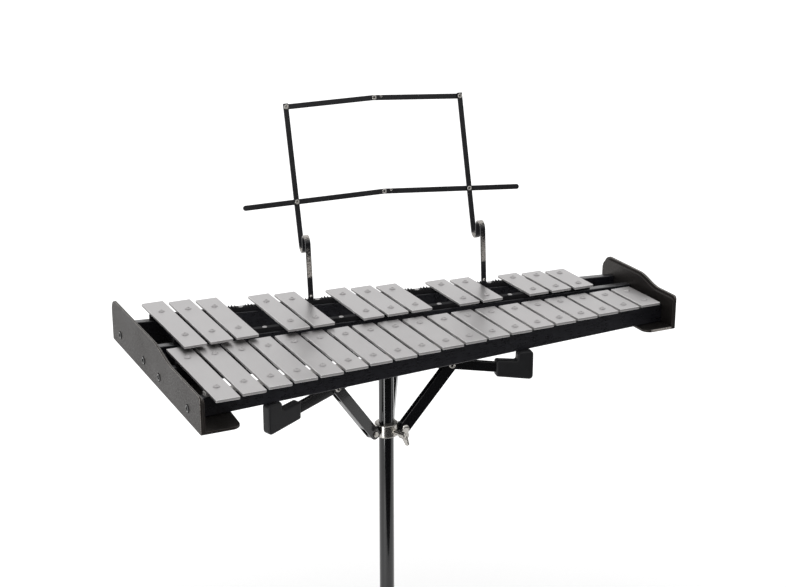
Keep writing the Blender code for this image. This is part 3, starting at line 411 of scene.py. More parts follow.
def carried(section: np.ndarray, path: np.ndarray, sideways: np.ndarray, round_ends: float = 0.0) -> Shell:
    """Carry a section along a path: point = path + s0 sideways + s1 (sideways x direction).

    Args:
        section: the section's points, across and through.
        path: the path's points.
        sideways: the section's first axis, the same all along.
        round_ends: how far the end rings shrink, to ease the cut ends.

    Returns:
        The closed shell.
    """
    run = np.gradient(path, axis=0)
    run /= np.linalg.norm(run, axis=1, keepdims=True)
    through = np.cross(run, sideways)
    through /= np.linalg.norm(through, axis=1, keepdims=True)
    points = path[:, None] + section[None, :, :1] * sideways + section[None, :, 1:] * through[:, None]
    if round_ends:
        shrunk = inset(section, round_ends)
        first = path[0] + shrunk[:, :1] * sideways + shrunk[:, 1:] * through[0]
        last = path[-1] + shrunk[:, :1] * sideways + shrunk[:, 1:] * through[-1]
        points[0] += run[0] * round_ends
        points[-1] -= run[-1] * round_ends
        points = np.concatenate([first[None], points, last[None]])
    return grid(points)


def arc(centre: tuple[float, float], radius: float, start: float, end: float, steps: int = 12) -> np.ndarray:
    """Return points on an arc from one angle to another, in radians."""
    angle = np.linspace(start, end, steps + 1)
    return np.column_stack([centre[0] + radius * np.cos(angle), centre[1] + radius * np.sin(angle)])


def axes(x: Sequence[float], y: Sequence[float], z: Sequence[float], origin: Sequence[float]) -> np.ndarray:
    """Return the 4 by 4 frame with these axes at this origin."""
    frame = np.eye(4)
    frame[:3, 0], frame[:3, 1], frame[:3, 2], frame[:3, 3] = x, y, z, origin
    return frame


def moved(x: float = 0.0, y: float = 0.0, z: float = 0.0) -> np.ndarray:
    """Return the frame of a plain move."""
    return axes((1, 0, 0), (0, 1, 0), (0, 0, 1), (x, y, z))


def dome_screw(radius: float, height: float, slot_share: float, sides: int = 32) -> Shell:
    """Shape a domed head with a cross recess, its seat at Z = 0.

    The dome's height over the seat is h (1 - (r / R)^2.4); inside the cross, where the lesser of
    |x| and |y| is under a tenth of the width, it is cut down towards the recess's floor.

    Args:
        radius: the head's radius R.
        height: its height h.
        slot_share: length of the cross's arms as a share of the radius.
        sides: steps around.

    Returns:
        The closed head, with a short skirt below its seat.
    """
    share = np.array([0.0, 0.09, 0.18, 0.26, 0.34, 0.42, 0.50, 0.58, 0.68, 0.78, 0.88, 0.95, 1.0])
    angle = np.linspace(0, 2 * np.pi, sides, endpoint=False)
    x = share[:, None] * np.cos(angle)
    y = share[:, None] * np.sin(angle)
    z = height * (1 - np.repeat(share[:, None], sides, axis=1) ** 2.4) + 0.18
    narrow = np.minimum(np.abs(x), np.abs(y))
    inside = np.clip((0.15 - narrow) / 0.05, 0, 1) * np.clip((slot_share - share[:, None]) / 0.1, 0, 1)
    z = z - inside * height * 0.45
    top = np.stack([x * radius, y * radius, z], axis=-1)
    skirt = np.stack([x[-1] * radius, y[-1] * radius, np.full(sides, -0.15)], axis=-1)
    foot = np.zeros((1, sides, 3))
    foot[..., 2] = -0.15
    return grid(np.concatenate([top, skirt[None], foot]), capped=False)


def socket_screw(radius: float, height: float, across: float, sides: int = 36) -> Shell:
    """Shape a button head with a six-sided socket, its seat at Z = 0.

    The socket's wall lies at r = (across / 2) / cos(a), for a the angle from the middle of its side.

    Args:
        radius: the head's radius.
        height: its height, also the socket's depth less a tenth of a millimetre.
        across: the socket's width across its flats.
        sides: steps around.

    Returns:
        The closed head, with a short skirt below its seat.
    """
    angle = np.linspace(0, 2 * np.pi, sides, endpoint=False)
    wall = across / 2 / np.cos((angle + np.pi / 6) % (np.pi / 3) - np.pi / 6)
    ring = np.ones(sides)
    ease = arc((radius - 0.7 * height, 0.3 * height), 0.7 * height, 0.0, np.pi / 2, 5)
    rings = [(0 * ring, -0.15), (radius * ring, -0.15), *((reach * ring, up) for reach, up in ease),
             (wall + 0.2, height), (wall, height - 0.2), (wall, 0.1), (0 * ring, 0.1)]
    return grid(np.stack([np.column_stack([reach * np.cos(angle), reach * np.sin(angle), np.full(sides, up)])
                          for reach, up in rings]), capped=False)


def tube_rivet(radius: float, height: float) -> Shell:
    """Return a rolled tubular rivet head, its seat at Z = 0, with the hole of its shank."""
    roll = arc((radius * 0.68, 0.0), radius * 0.32, 0.0, np.pi, 8) * (1, height / (radius * 0.32))
    hole = [(radius * 0.34, -0.1), (0.0, -0.12)]
    return lathe([(0.0, -0.3), (radius, -0.3), *roll.tolist(), *hole], 28)


class Workshop:
    def __init__(self, origin: np.ndarray) -> None:
        """Keep where the lengths start, in metres in the frame of the parts."""
        self.origin = origin
        self.materials: dict[str, bpy.types.Material] = {}

    def material(self, finish: Finish) -> bpy.types.Material:
        """Return a finish's material, made the first time it is asked for."""
        if finish.name not in self.materials:
            self.materials[finish.name] = finish.make()
        return self.materials[finish.name]

    def dress(self, node: bpy.types.Object, finish: Finish) -> None:
        """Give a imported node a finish."""
        for slot in node.material_slots:
            slot.material = self.material(finish)

    @staticmethod
    def level_normals(made: bpy.types.Object) -> None:
        """Weigh a piece's shading normals by face area, so that flat faces shade flat up to their easings."""
        weigher = made.modifiers.new("level", "WEIGHTED_NORMAL")
        weigher.keep_sharp = True
        graph = bpy.context.evaluated_depsgraph_get()
        plain, levelled = made.data, bpy.data.meshes.new_from_object(
            made.evaluated_get(graph), preserve_all_data_layers=True, depsgraph=graph)
        made.modifiers.clear()
        made.data = levelled
        bpy.data.meshes.remove(plain)

    def piece(self, name: str, shell: Shell, finish: Finish, body: str, slot: str,
              replaces: Sequence[str] = (), crease: float = 35.0,
              wear_and_painted_light: np.ndarray | None = None) -> bpy.types.Object:
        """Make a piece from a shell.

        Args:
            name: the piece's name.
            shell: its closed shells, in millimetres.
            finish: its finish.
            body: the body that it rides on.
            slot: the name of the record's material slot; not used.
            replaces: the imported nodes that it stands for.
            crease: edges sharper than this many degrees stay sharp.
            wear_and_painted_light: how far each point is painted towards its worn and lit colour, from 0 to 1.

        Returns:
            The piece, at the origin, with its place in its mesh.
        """
        mesh = bpy.data.meshes.new(name)
        faces = [face for block in shell.faces for face in block.tolist()]
        mesh.from_pydata((shell.points * MM + self.origin).tolist(), [], faces)
        if wear_and_painted_light is not None:
            attribute = mesh.attributes.new("wear_and_painted_light", "FLOAT", "POINT")
            attribute.data.foreach_set("value", wear_and_painted_light.astype(np.float32))
        work = bmesh.new()
        work.from_mesh(mesh)
        bmesh.ops.remove_doubles(work, verts=work.verts, dist=2e-6)
        bmesh.ops.recalc_face_normals(work, faces=work.faces)
        work.to_mesh(mesh)
        work.free()
        mesh.shade_smooth()
        mesh.set_sharp_from_angle(angle=math.radians(crease))
        mesh.materials.append(self.material(finish))
        made = bpy.data.objects.new(name, mesh)
        bpy.context.scene.collection.objects.link(made)
        self.level_normals(made)
        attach(made, body)
        if replaces:
            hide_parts(*replaces)
        return made


@dataclass(frozen=True)
class RailLine:
    """A rail's centre line: its distance back at the first and the last natural bar's place."""

    name: str
    first: float
    last: float
    bars_level: float
    board_top: float
    finish: Finish
    ribs: bool = False


@dataclass
class Keyboard:
    """The bars, the four rails under them and the two end plates."""

    shop: Workshop
    nodes: dict[str, bpy.types.Object]
    pitch: float = 29.0
    naturals: int = 19
    bar_width: float = 25.0
    bar_thickness: float = 3.25
    bar_edge: float = 0.8
    bar_corner: float = 0.9
    board_bottom: float = -24.3
    notch_top: float = -18.5
    notch_place: float = 227.3
    notch_half: float = 9.0
    board_thickness: float = 9.5
    board_ends: tuple[float, float] = (-25.7, 544.2)
    socket_places: tuple[float, float] = (6.5, 13.5)
    socket_before_screw: float = 7.2
    socket_half: tuple[float, float] = (3.9, 1.4)
    socket_depth: float = 6.4
    cushion_width: float = 7.4
    cushion_margin: float = 0.8
    cushion_lift: float = 0.22
    head_radius: float = 3.05
    head_height: float = 1.4
    washer_radius: float = 3.9
    rib_pitch: float = 3.7
    rib_height: float = 1.9
    accidental_places: tuple[float, ...] = (0.5, 1.5, 2.5, 4.5, 5.5, 7.5, 8.5, 9.5, 11.5, 12.5, 14.5, 15.5, 16.5)
    spare_places: tuple[float, ...] = (3.5, 6.5, 10.5, 13.5)
    lines: tuple[RailLine, ...] = (
        RailLine("natural_front", -50.4, -11.3, 0.0, -4.0, PRESSED_FELT),
        RailLine("natural_rear", 38.0, 23.7, 0.0, -4.0, RIBBED_RUBBER),
        RailLine("accidental_front", 90.0, 56.1, 6.15, 0.8, RIBBED_RUBBER),
        RailLine("accidental_rear", 173.1, 93.9, 6.15, 0.8, RIBBED_RUBBER, True))

    def back(self, line: RailLine, x: float) -> float:
        """Return how far back a rail's centre line is at x."""
        return line.first + (line.last - line.first) * x / ((self.naturals - 1) * self.pitch)

    def places(self, line: RailLine) -> np.ndarray:
        """Return where along the row the rail's bars lie."""
        accidental = line.name.startswith("accidental")
        return np.array(self.accidental_places if accidental else range(self.naturals)) * self.pitch

    def cushion(self, line: RailLine) -> Shell:
        """Shape a rail's bedding strip, with ribs that stand up where no bar presses on it.

        Args:
            line: the rail.

        Returns:
            A low strip with eased edges, as a section carried along the rail, and its ribs.
        """
        xs = self.places(line)
        reach = self.bar_width / 2 + self.cushion_margin
        left, right = xs.min() - reach, xs.max() + reach
        top = line.bars_level - self.cushion_lift
        path = np.array([[x, self.back(line, x), (top + line.board_top) / 2] for x in (left, right)])
        run = (path[1] - path[0]) / np.linalg.norm(path[1] - path[0])
        sideways = np.cross((0.0, 0.0, 1.0), run)
        half, tall = self.cushion_width / 2, (top - line.board_top) / 2 + 0.1
        section = rounded([(-half, -tall), (half, -tall), (half, tall), (-half, tall)], 0.5, 3)
        shells = [carried(section, path, sideways)]
        if line.ribs:
            gaps = []
            for before, after in zip(xs[:-1], xs[1:]):
                if after - before > 1.5 * self.pitch:
                    gaps.append((before + self.bar_width / 2, after - self.bar_width / 2))
            for start, end in gaps:
                count = int((end - start - 2.0) // self.rib_pitch)
                for number in range(count):
                    x = start + 1.6 + self.rib_pitch * (number + 0.5) + 0.5 * math.sin(5.1 * number)
                    if min(abs(x - place * self.pitch) for place in self.spare_places) < 4.2:
                        continue
                    tip = self.rib_height * (0.8 + 0.2 * math.sin(2.3 * number))
                    outline = rounded([(-0.9, -0.6), (0.9, -0.6), (0.45, tip), (-0.45, tip)], 0.25, 2)
                    across = axes(run, (0, 0, 1), np.cross(run, (0, 0, 1)), (x, self.back(line, x), top))
                    shells.append(slab(outline, -half + 0.3, half - 0.3, 0.3, 2).placed(across))
        return joined(shells)

    def board(self, line: RailLine) -> Shell:
        """Shape a rail's board: its section carried from end plate to end plate.

        The section is a box with rounded upper and lower edges and a slot down its middle, which is
        as deep as nothing except at the two sockets of the music rest.  A notch in the underside of
        the inner natural rail leaves room for the stand's rear arm.

        Args:
            line: the rail.

        Returns:
            The closed board, its ends square to the rows.
        """
        half, ease = self.board_thickness / 2, 0.9
        top, low = line.board_top, self.board_bottom
        slot, deep = self.socket_half[1], self.socket_depth
        turn = np.linspace(0, np.pi / 2, 5)
        bend = np.column_stack([np.sin(turn), np.cos(turn)]) * ease
        right_top = np.array((half - ease, top - ease)) + bend
        right_low = np.array((half - ease, low + ease)) + bend[::-1] * (1, -1)
        right = np.concatenate([[(slot, top)], right_top, right_low])
        section = np.concatenate([right, right[::-1] * (-1, 1)])
        plain = np.concatenate([section, [(-slot, top), (slot, top)]])
        slotted = np.concatenate([section, [(-slot, top - deep), (slot, top - deep)]])
        notched = np.where(plain[:, 1:] < self.notch_top - ease, plain + (0, self.notch_top - low), plain)
        stops = [(self.board_ends[0], plain)]
        if line.name == "accidental_rear":
            for place in self.socket_places:
                middle = place * self.pitch - self.socket_before_screw
                first, last = middle - self.socket_half[0], middle + self.socket_half[0]
                stops += [(first, plain), (first, slotted), (last, slotted), (last, plain)]
        elif line.name == "natural_rear":
            first, last = self.notch_place - self.notch_half, self.notch_place + self.notch_half
            stops += [(first, plain), (first, notched), (last, notched), (last, plain)]
        stops.append((self.board_ends[1], plain))
        rings = [[(x, self.back(line, x) + across, up) for across, up in shape] for x, shape in stops]
        return grid(np.array(rings))

    def make_rail(self, line: RailLine) -> None:
        """Make one rail's board and lay its bedding strip, screws and washers on it."""
        node = f"rail_{line.name}"
        self.shop.piece(f"{node}_board", self.board(line), LACQUERED_BEECH, "instrument", "rail_black_lacquer",
                        [node])
        self.shop.piece(f"{node}_strip", self.cushion(line), line.finish, "instrument", "rail_black_lacquer")
        seat = line.bars_level + self.bar_thickness + 0.3
        screws, washers = [], []
        turn = 0.7
        for x in self.places(line):
            turn += 1.9
            screws.append(self.head(x, self.back(line, x), seat, turn))
            ring = [(1.2, -0.26), (self.washer_radius, -0.26), (self.washer_radius, -0.05),
                    (self.washer_radius - 0.25, 0.06), (1.2, 0.06), (1.2, -0.26)]
            washers.append(lathe(ring, 24).placed(moved(x, self.back(line, x), seat)))
        if line.name.startswith("accidental"):
            for place in self.spare_places:
                x = place * self.pitch
                screws.append(self.head(x, self.back(line, x), line.bars_level - 0.7, place))
        self.shop.piece(f"{node}_screws", joined(screws), ZINC_PLATE, "instrument", "rail_black_lacquer")
        self.shop.piece(f"{node}_washers", joined(washers), ZINC_PLATE, "instrument", "rail_black_lacquer")

    def head(self, x: float, y: float, z: float, turn: float) -> Shell:
        """Return a screw head at a place, its cross turned by an angle."""
        cosine, sine = math.cos(turn), math.sin(turn)
        frame = axes((cosine, sine, 0), (-sine, cosine, 0), (0, 0, 1), (x, y, z))
        return dome_screw(self.head_radius, self.head_height, 0.55).placed(frame)

    def make_bar(self, node: str) -> None:
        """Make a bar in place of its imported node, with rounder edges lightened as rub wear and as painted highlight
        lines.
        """
        low, high = (np.array(corner) - self.shop.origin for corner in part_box(node))
        (left, front, under), (right, rear, top) = low / MM, high / MM
        outline = rounded([(left, front), (right, front), (right, rear), (left, rear)], self.bar_corner, 4)
        shell = slab(outline, under, top, self.bar_edge, 4)
        # The eased edges are lightened as rub wear and as painted highlight lines.
        self.shop.piece(f"{node}_brushed", shell, BRUSHED_ALUMINIUM, "instrument", "bar_aluminium", [node],
                        wear_and_painted_light=edge_wear_and_highlight(shell, 2, self.bar_edge))

    def make(self) -> None:
        """Make the bars, then the rails and their fittings."""
        bars = [name for name in self.nodes if name.startswith("bar_")]
        for name in bars:
            self.make_bar(name)
        LOG.info("bars: %d", len(bars))
        for line in self.lines:
            self.make_rail(line)
            LOG.info("rail %s: strip, screws and washers", line.name)


@dataclass
class EndPlate:
    """An end plate: an upright panel with an S-shaped top, a flange under the rails and four screws."""

    shop: Workshop
    keyboard: Keyboard
    side: str
    outer_x: float
    inwards: int
    flange_width: float
    front_margin: float
    rear_margin: float
    step: tuple[float, float]
    thickness: float = 5.0
    lip: float = 2.6
    lip_height: float = 3.0
    flange_thickness: float = 3.0
    high_top: float = 20.0
    low_top: float = 11.5
    rear_radius: float = 14.0
    front_radius: float = 4.0
    flange_radius: float = 10.0
    flange_flare: float = 0.0
    # How far the flange's front edge is lightened to a painted highlight line.
    flange_highlight: float = 0.0
    seat: float = -24.6
    edge: float = 0.6
    screw_drop: float = 13.5
    screw_radius: float = 3.75
    socket_across: float = 4.6

    def layer(self, start: float, end: float, lowered: float) -> Shell:
        """Shape one layer of the upright panel.

        Its top falls from the high to the low level along half a cosine between the step's ends.

        Args:
            start: how far in from the outer face the layer starts.
            end: how far in it ends.
            lowered: how far its top lies below the panel's.

        Returns:
            A slab with quarter-round edges, standing across the rows.
        """
        lines = self.keyboard.lines
        front = self.keyboard.back(lines[0], self.outer_x) - self.front_margin
        rear = self.keyboard.back(lines[3], self.outer_x) + self.rear_margin
        bottom = self.seat - self.flange_thickness
        high, low = self.high_top - lowered, self.low_top - lowered
        share = np.linspace(0, 1, 25)
        fall = np.column_stack([self.step[1] + (self.step[0] - self.step[1]) * share,
                                high - (high - low) * (1 - np.cos(np.pi * share)) / 2])
        top_rear = arc((rear - self.rear_radius, high - self.rear_radius), self.rear_radius, 0, np.pi / 2, 14)
        top_front = arc((front + self.front_radius, low - self.front_radius), self.front_radius,
                        np.pi / 2, np.pi, 8)
        foot_front = arc((front + 1.2, bottom + 1.2), 1.2, np.pi, 1.5 * np.pi, 4)
        foot_rear = arc((rear - 1.2, bottom + 1.2), 1.2, 1.5 * np.pi, 2 * np.pi, 4)
        outline = np.concatenate([foot_front, foot_rear, top_rear, fall, top_front])
        faces = sorted((self.outer_x + self.inwards * start, self.outer_x + self.inwards * end))
        frame = axes((0, 1, 0), (0, 0, 1), (1, 0, 0), (0, 0, 0))
        return slab(outline, *faces, self.edge, 4).placed(frame)

    def flange(self) -> Shell:
        """Return the flange under the rails, its inner corners rounded and a little wider at the back."""
        lines = self.keyboard.lines
        front = self.keyboard.back(lines[0], self.outer_x) - self.front_margin + 0.3
        rear = self.keyboard.back(lines[3], self.outer_x) + self.rear_margin - 0.3
        near = self.outer_x + self.inwards * 1.5
        far = self.outer_x + self.inwards * self.flange_width
        corners = [(near, front), (far, front), (far + self.flange_flare, rear), (near, rear)]
        radii = [0.3, self.flange_radius, self.flange_radius, 0.3]
        if self.inwards < 0:
            corners, radii = corners[::-1], radii[::-1]
        return slab(rounded(corners, radii, 9), self.seat - self.flange_thickness, self.seat, 0.7, 3)

    def make(self) -> None:
        """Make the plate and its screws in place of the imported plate."""
        node = f"end_plate_{self.side}"
        skin = self.layer(0.0, self.lip, 0.0)
        # The panel's edges are lightened as rub wear and as painted highlight lines; its inner face's lower edges
        # stay dark.
        wear_and_painted_light = edge_wear_and_highlight(skin, 0, self.edge)
        inner = (skin.points[:, 0] - self.outer_x) * self.inwards > self.lip / 2
        wear_and_painted_light[inner & (skin.points[:, 2] < self.low_top - self.front_radius)] = 0.0
        self.shop.piece(f"{node}_panel", skin, GRAINED_ABS, "instrument", "plate_black_moulding", [node],
                        wear_and_painted_light=wear_and_painted_light)
        core = self.layer(self.lip - 0.5, self.thickness, self.lip_height)
        self.shop.piece(f"{node}_core", core, GRAINED_ABS, "instrument", "plate_black_moulding")
        flange = self.flange()
        # The flange's front edge is lightened to a painted highlight line where the plate asks for it.
        at_front = flange.points[:, 1] < flange.points[:, 1].min() + self.edge
        self.shop.piece(f"{node}_flange", flange, GRAINED_ABS, "instrument", "plate_black_moulding",
                        wear_and_painted_light=self.flange_highlight * at_front)
        screws, shade_rings = [], []
        for number, line in enumerate(self.keyboard.lines):
            turn = 0.4 + 1.3 * number
            outwards = np.array((-self.inwards, 0.0, 0.0))
            first = np.array((0.0, math.cos(turn), math.sin(turn)))
            spot = (self.outer_x, self.keyboard.back(line, self.outer_x), -self.screw_drop)
            frame = axes(first, np.cross(outwards, first), outwards, spot)
            screws.append(socket_screw(self.screw_radius, 1.05, self.socket_across).placed(frame))
            # A matt black ring round each head paints the shade of its recess.
            shade_ring = [(3.2, -0.3), (4.6, -0.3), (4.6, 0.1), (4.2, 0.35), (3.2, 0.35), (3.2, -0.3)]
            shade_rings.append(lathe(shade_ring, 28).placed(frame))
        self.shop.piece(f"{node}_screws", joined(screws), BLACK_SCREW, "instrument", "plate_black_moulding")
        self.shop.piece(f"{node}_cups", joined(shade_rings), PAINTED_SHADE_BLACK, "instrument", "plate_black_moulding")
        LOG.info("end plate %s: panel, core, flange and screws", self.side)


@dataclass
class MusicRest:
    """Two bent uprights and two folding cross bars of flat strip, joined by tubular rivets."""

    shop: Workshop
    keyboard: Keyboard
    strip_width: float = 6.0
    strip_thickness: float = 2.0
    layer: float = 2.4
    post_before_screw: float = 7.2
    post_places: tuple[float, float] = (6.5, 13.5)
    insertion: float = 6.0
    hook_height: float = 70.6
    saddle_height: float = 63.6
    bend: float = 7.9
    tilt: float = math.radians(14.1)
    lean: float = math.radians(2.1)
    arch: float = math.radians(2.4)
    rivet_heights: tuple[float, float] = (223.2, 116.2)
    rivet_rise: float = 0.75
    tip: float = 4.0
    overhang: float = 59.2

    def __post_init__(self) -> None:
        """Work out the rest's own directions and the places of its rivets."""
        line = self.keyboard.lines[3]
        ends = [place * self.keyboard.pitch - self.post_before_screw for place in self.post_places]
        left, right = (np.array((x, self.keyboard.back(line, x), 0.0)) for x in ends)
        self.spread = float(np.linalg.norm(right - left))
        self.half_bar = self.spread / 2 / math.cos(self.arch)
        self.along = (right - left) / self.spread
        self.behind = np.array((-self.along[1], self.along[0], 0.0))
        up = np.array((0.0, 0.0, 1.0))
        self.normal = self.behind * math.cos(self.tilt) - up * math.sin(self.tilt)
        self.upwards = self.behind * math.sin(self.tilt) + up * math.cos(self.tilt)
        lean = np.array(Matrix.Rotation(-self.lean, 3, Vector(self.normal)))
        turned = [lean @ axis for axis in (self.along, self.behind, up)]
        self.post_frames = (axes(*turned, left), axes(*turned, right - self.normal * self.layer))
        self.base = left
        saddle = arc((3 * self.bend, self.saddle_height), self.bend, np.pi, 2 * np.pi - self.tilt)
        self.depth = saddle[-1, 0] * math.cos(self.tilt) - saddle[-1, 1] * math.sin(self.tilt)

    def rivet_place(self, height: float) -> np.ndarray:
        """Return the point on the left upright's middle line this far up the leaning plane."""
        sideways = -height * math.sin(self.lean)
        return (self.base + self.along * sideways + self.upwards * height * math.cos(self.lean)
                + self.normal * self.depth)

    def bar_frame(self, start: np.ndarray, angle: float, layer: int) -> np.ndarray:
        """Return a cross bar's frame: X along it from its start, Z towards the player."""
        along = self.along * math.cos(angle) + self.upwards * math.sin(angle)
        across = self.upwards * math.cos(angle) - self.along * math.sin(angle)
        return axes(along, across, -self.normal, start - self.normal * layer * self.layer)

    def side_path(self) -> np.ndarray:
        """Return an upright's middle line in side view: post, two bends and the tilted upper part."""
        post = np.column_stack([np.zeros(30), np.linspace(-self.insertion, self.hook_height, 30)])
        hook = arc((self.bend, self.hook_height), self.bend, np.pi, 0.0, 16)[1:]
        saddle = arc((3 * self.bend, self.saddle_height), self.bend, np.pi, 2 * np.pi - self.tilt, 16)
        end = saddle[-1]
        height = end[0] * math.sin(self.tilt) + end[1] * math.cos(self.tilt)
        rise = (self.rivet_heights[0] + self.tip - height) * np.linspace(0, 1, 20)[1:]
        upper = end + np.column_stack([rise * math.sin(self.tilt), rise * math.cos(self.tilt)])
        return np.concatenate([post, hook, saddle, upper])

    def strip_section(self) -> np.ndarray:
        """Return the strip's section, with its mill-rounded corners."""
        w, t = self.strip_width / 2, self.strip_thickness / 2
        return rounded([(-w, -t), (w, -t), (w, t), (-w, t)], 0.5, 3)

    def upright(self, frame: np.ndarray) -> tuple[Shell, np.ndarray]:
        """Shape an upright and say where its enamel is lightened.

        Args:
            frame: the post's frame.

        Returns:
            The strip's section carried along its path, and the wear and painted light at each point: most on the
            two bends, which rub on sheets and other parts and show painted highlights, and a painted reflection band
            up the post's front.
        """
        side = self.side_path()
        path = np.column_stack([np.zeros(len(side)), side])
        shell = carried(self.strip_section(), path, np.array((1.0, 0.0, 0.0)), 0.4)
        y, z = shell.points[:, 1], shell.points[:, 2]
        hook = np.hypot(y - self.bend, (z - self.hook_height - self.bend) * 1.3)
        saddle = np.hypot(y - 3 * self.bend, (z - self.saddle_height + self.bend) * 1.3)
        # The two bends are lightened as rub wear and as painted highlights.
        bends = np.clip(1.25 - np.minimum(hook, saddle) / (1.5 * self.bend), 0, 1)
        flat = np.abs(y + self.strip_thickness / 2) < 0.05
        # A painted reflection band up the flat front face of the post, from 30 mm up and fading out above.
        painted_reflection_band = 0.95 * np.clip((z - 30.0) / 3.0, 0, 1) * np.clip(1.25 - (z - 34.0) / 50.0, 0, 1) * flat
        wear_and_painted_light = np.maximum(bends, painted_reflection_band)
        return shell.placed(frame), wear_and_painted_light

    def half_bar_shell(self, start: float, end: float, frame: np.ndarray) -> Shell:
        """Return a cross bar's half: a strip with round ends from start to end along its frame."""
        half = self.strip_width / 2
        outline = np.concatenate([arc((start, 0.0), half, np.pi / 2, 1.5 * np.pi, 10),
                                  arc((end, 0.0), half, -np.pi / 2, np.pi / 2, 10)])
        return slab(outline, -self.strip_thickness / 2, self.strip_thickness / 2, 0.45, 3).placed(frame)

    def rivet(self, point: np.ndarray, owner_is_rear: bool) -> Shell:
        """Return a tubular rivet through two strips: both heads and the shank between them."""
        face = self.strip_thickness / 2
        frame = self.bar_frame(point, 0.0, 0)
        front = tube_rivet(2.75, self.rivet_rise).placed(moved(z=self.layer + face + (0.3 if owner_is_rear else 0.0)))
        rear_z = -face - (0.0 if owner_is_rear else 0.3)
        rear = tube_rivet(2.75, self.rivet_rise).placed(axes((1, 0, 0), (0, -1, 0), (0, 0, -1), (0, 0, rear_z)))
        shank = lathe([(0, self.layer + face), (1.2, self.layer + face), (1.2, rear_z), (0, rear_z)], 16)
        return joined([front, rear, shank]).placed(frame)

    def strip_piece(self, name: str, shell: Shell, body: str, wear_and_painted_light: np.ndarray | None = None) -> None:
        """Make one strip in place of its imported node."""
        wear_and_light = np.zeros(len(shell.points)) if wear_and_painted_light is None else wear_and_painted_light
        self.shop.piece(f"{name}_strip", shell, ENAMELLED_STRIP, body, "black_painted_steel", [name], wear_and_painted_light=wear_and_light)

    def make(self) -> None:
        """Make the two uprights, the four half-bars and their rivets."""
        top, low = (self.rivet_place(height) for height in self.rivet_heights)
        across = self.along * self.spread
        rivets = {"rest_left": [self.rivet(top, True), self.rivet(low, True)],
                  "rest_right": [self.rivet(top + across, False), self.rivet(low + across, False)]}
        front = axes((1, 0, 0), (0, 0, 1), (0, -1, 0), (0.0, -self.strip_thickness / 2, 10.5))
        for side, frame in zip(("left", "right"), self.post_frames):
            shell, wear_and_painted_light = self.upright(frame)
            self.strip_piece(f"rest_upright_{side}", shell, f"rest_{side}", wear_and_painted_light)
            rivets[f"rest_{side}"].append(dome_screw(1.6, 0.7, 0.5, 20).placed(front).placed(frame))
        for level, corner, overhang in (("top", top, 0.0), ("lower", low, self.overhang)):
            rise = (self.along * math.cos(self.arch) + self.upwards * math.sin(self.arch)) * self.half_bar
            centre = corner + rise
            left = self.half_bar_shell(-overhang, self.half_bar, self.bar_frame(corner, self.arch, 1))
            right = self.half_bar_shell(0.0, self.half_bar + overhang, self.bar_frame(centre, -self.arch, 0))
            self.strip_piece(f"rest_{level}_bar_left", left, f"rest_{level}_left")
            self.strip_piece(f"rest_{level}_bar_right", right, f"rest_{level}_right")
            rivets[f"rest_{level}_left"] = [self.rivet(centre, False)]
            frame = self.bar_frame(centre, -self.arch, 0)
            stop = tube_rivet(1.5, 0.8).placed(moved(8.6, 1.4, self.strip_thickness / 2))
            rivets[f"rest_{level}_right"] = [stop.placed(frame)]
        for body, shells in rivets.items():
            self.shop.piece(f"{body}_rivets", joined(shells), NICKEL_PLATE, body, "black_painted_steel")
        LOG.info("music rest: uprights, half-bars and rivets")


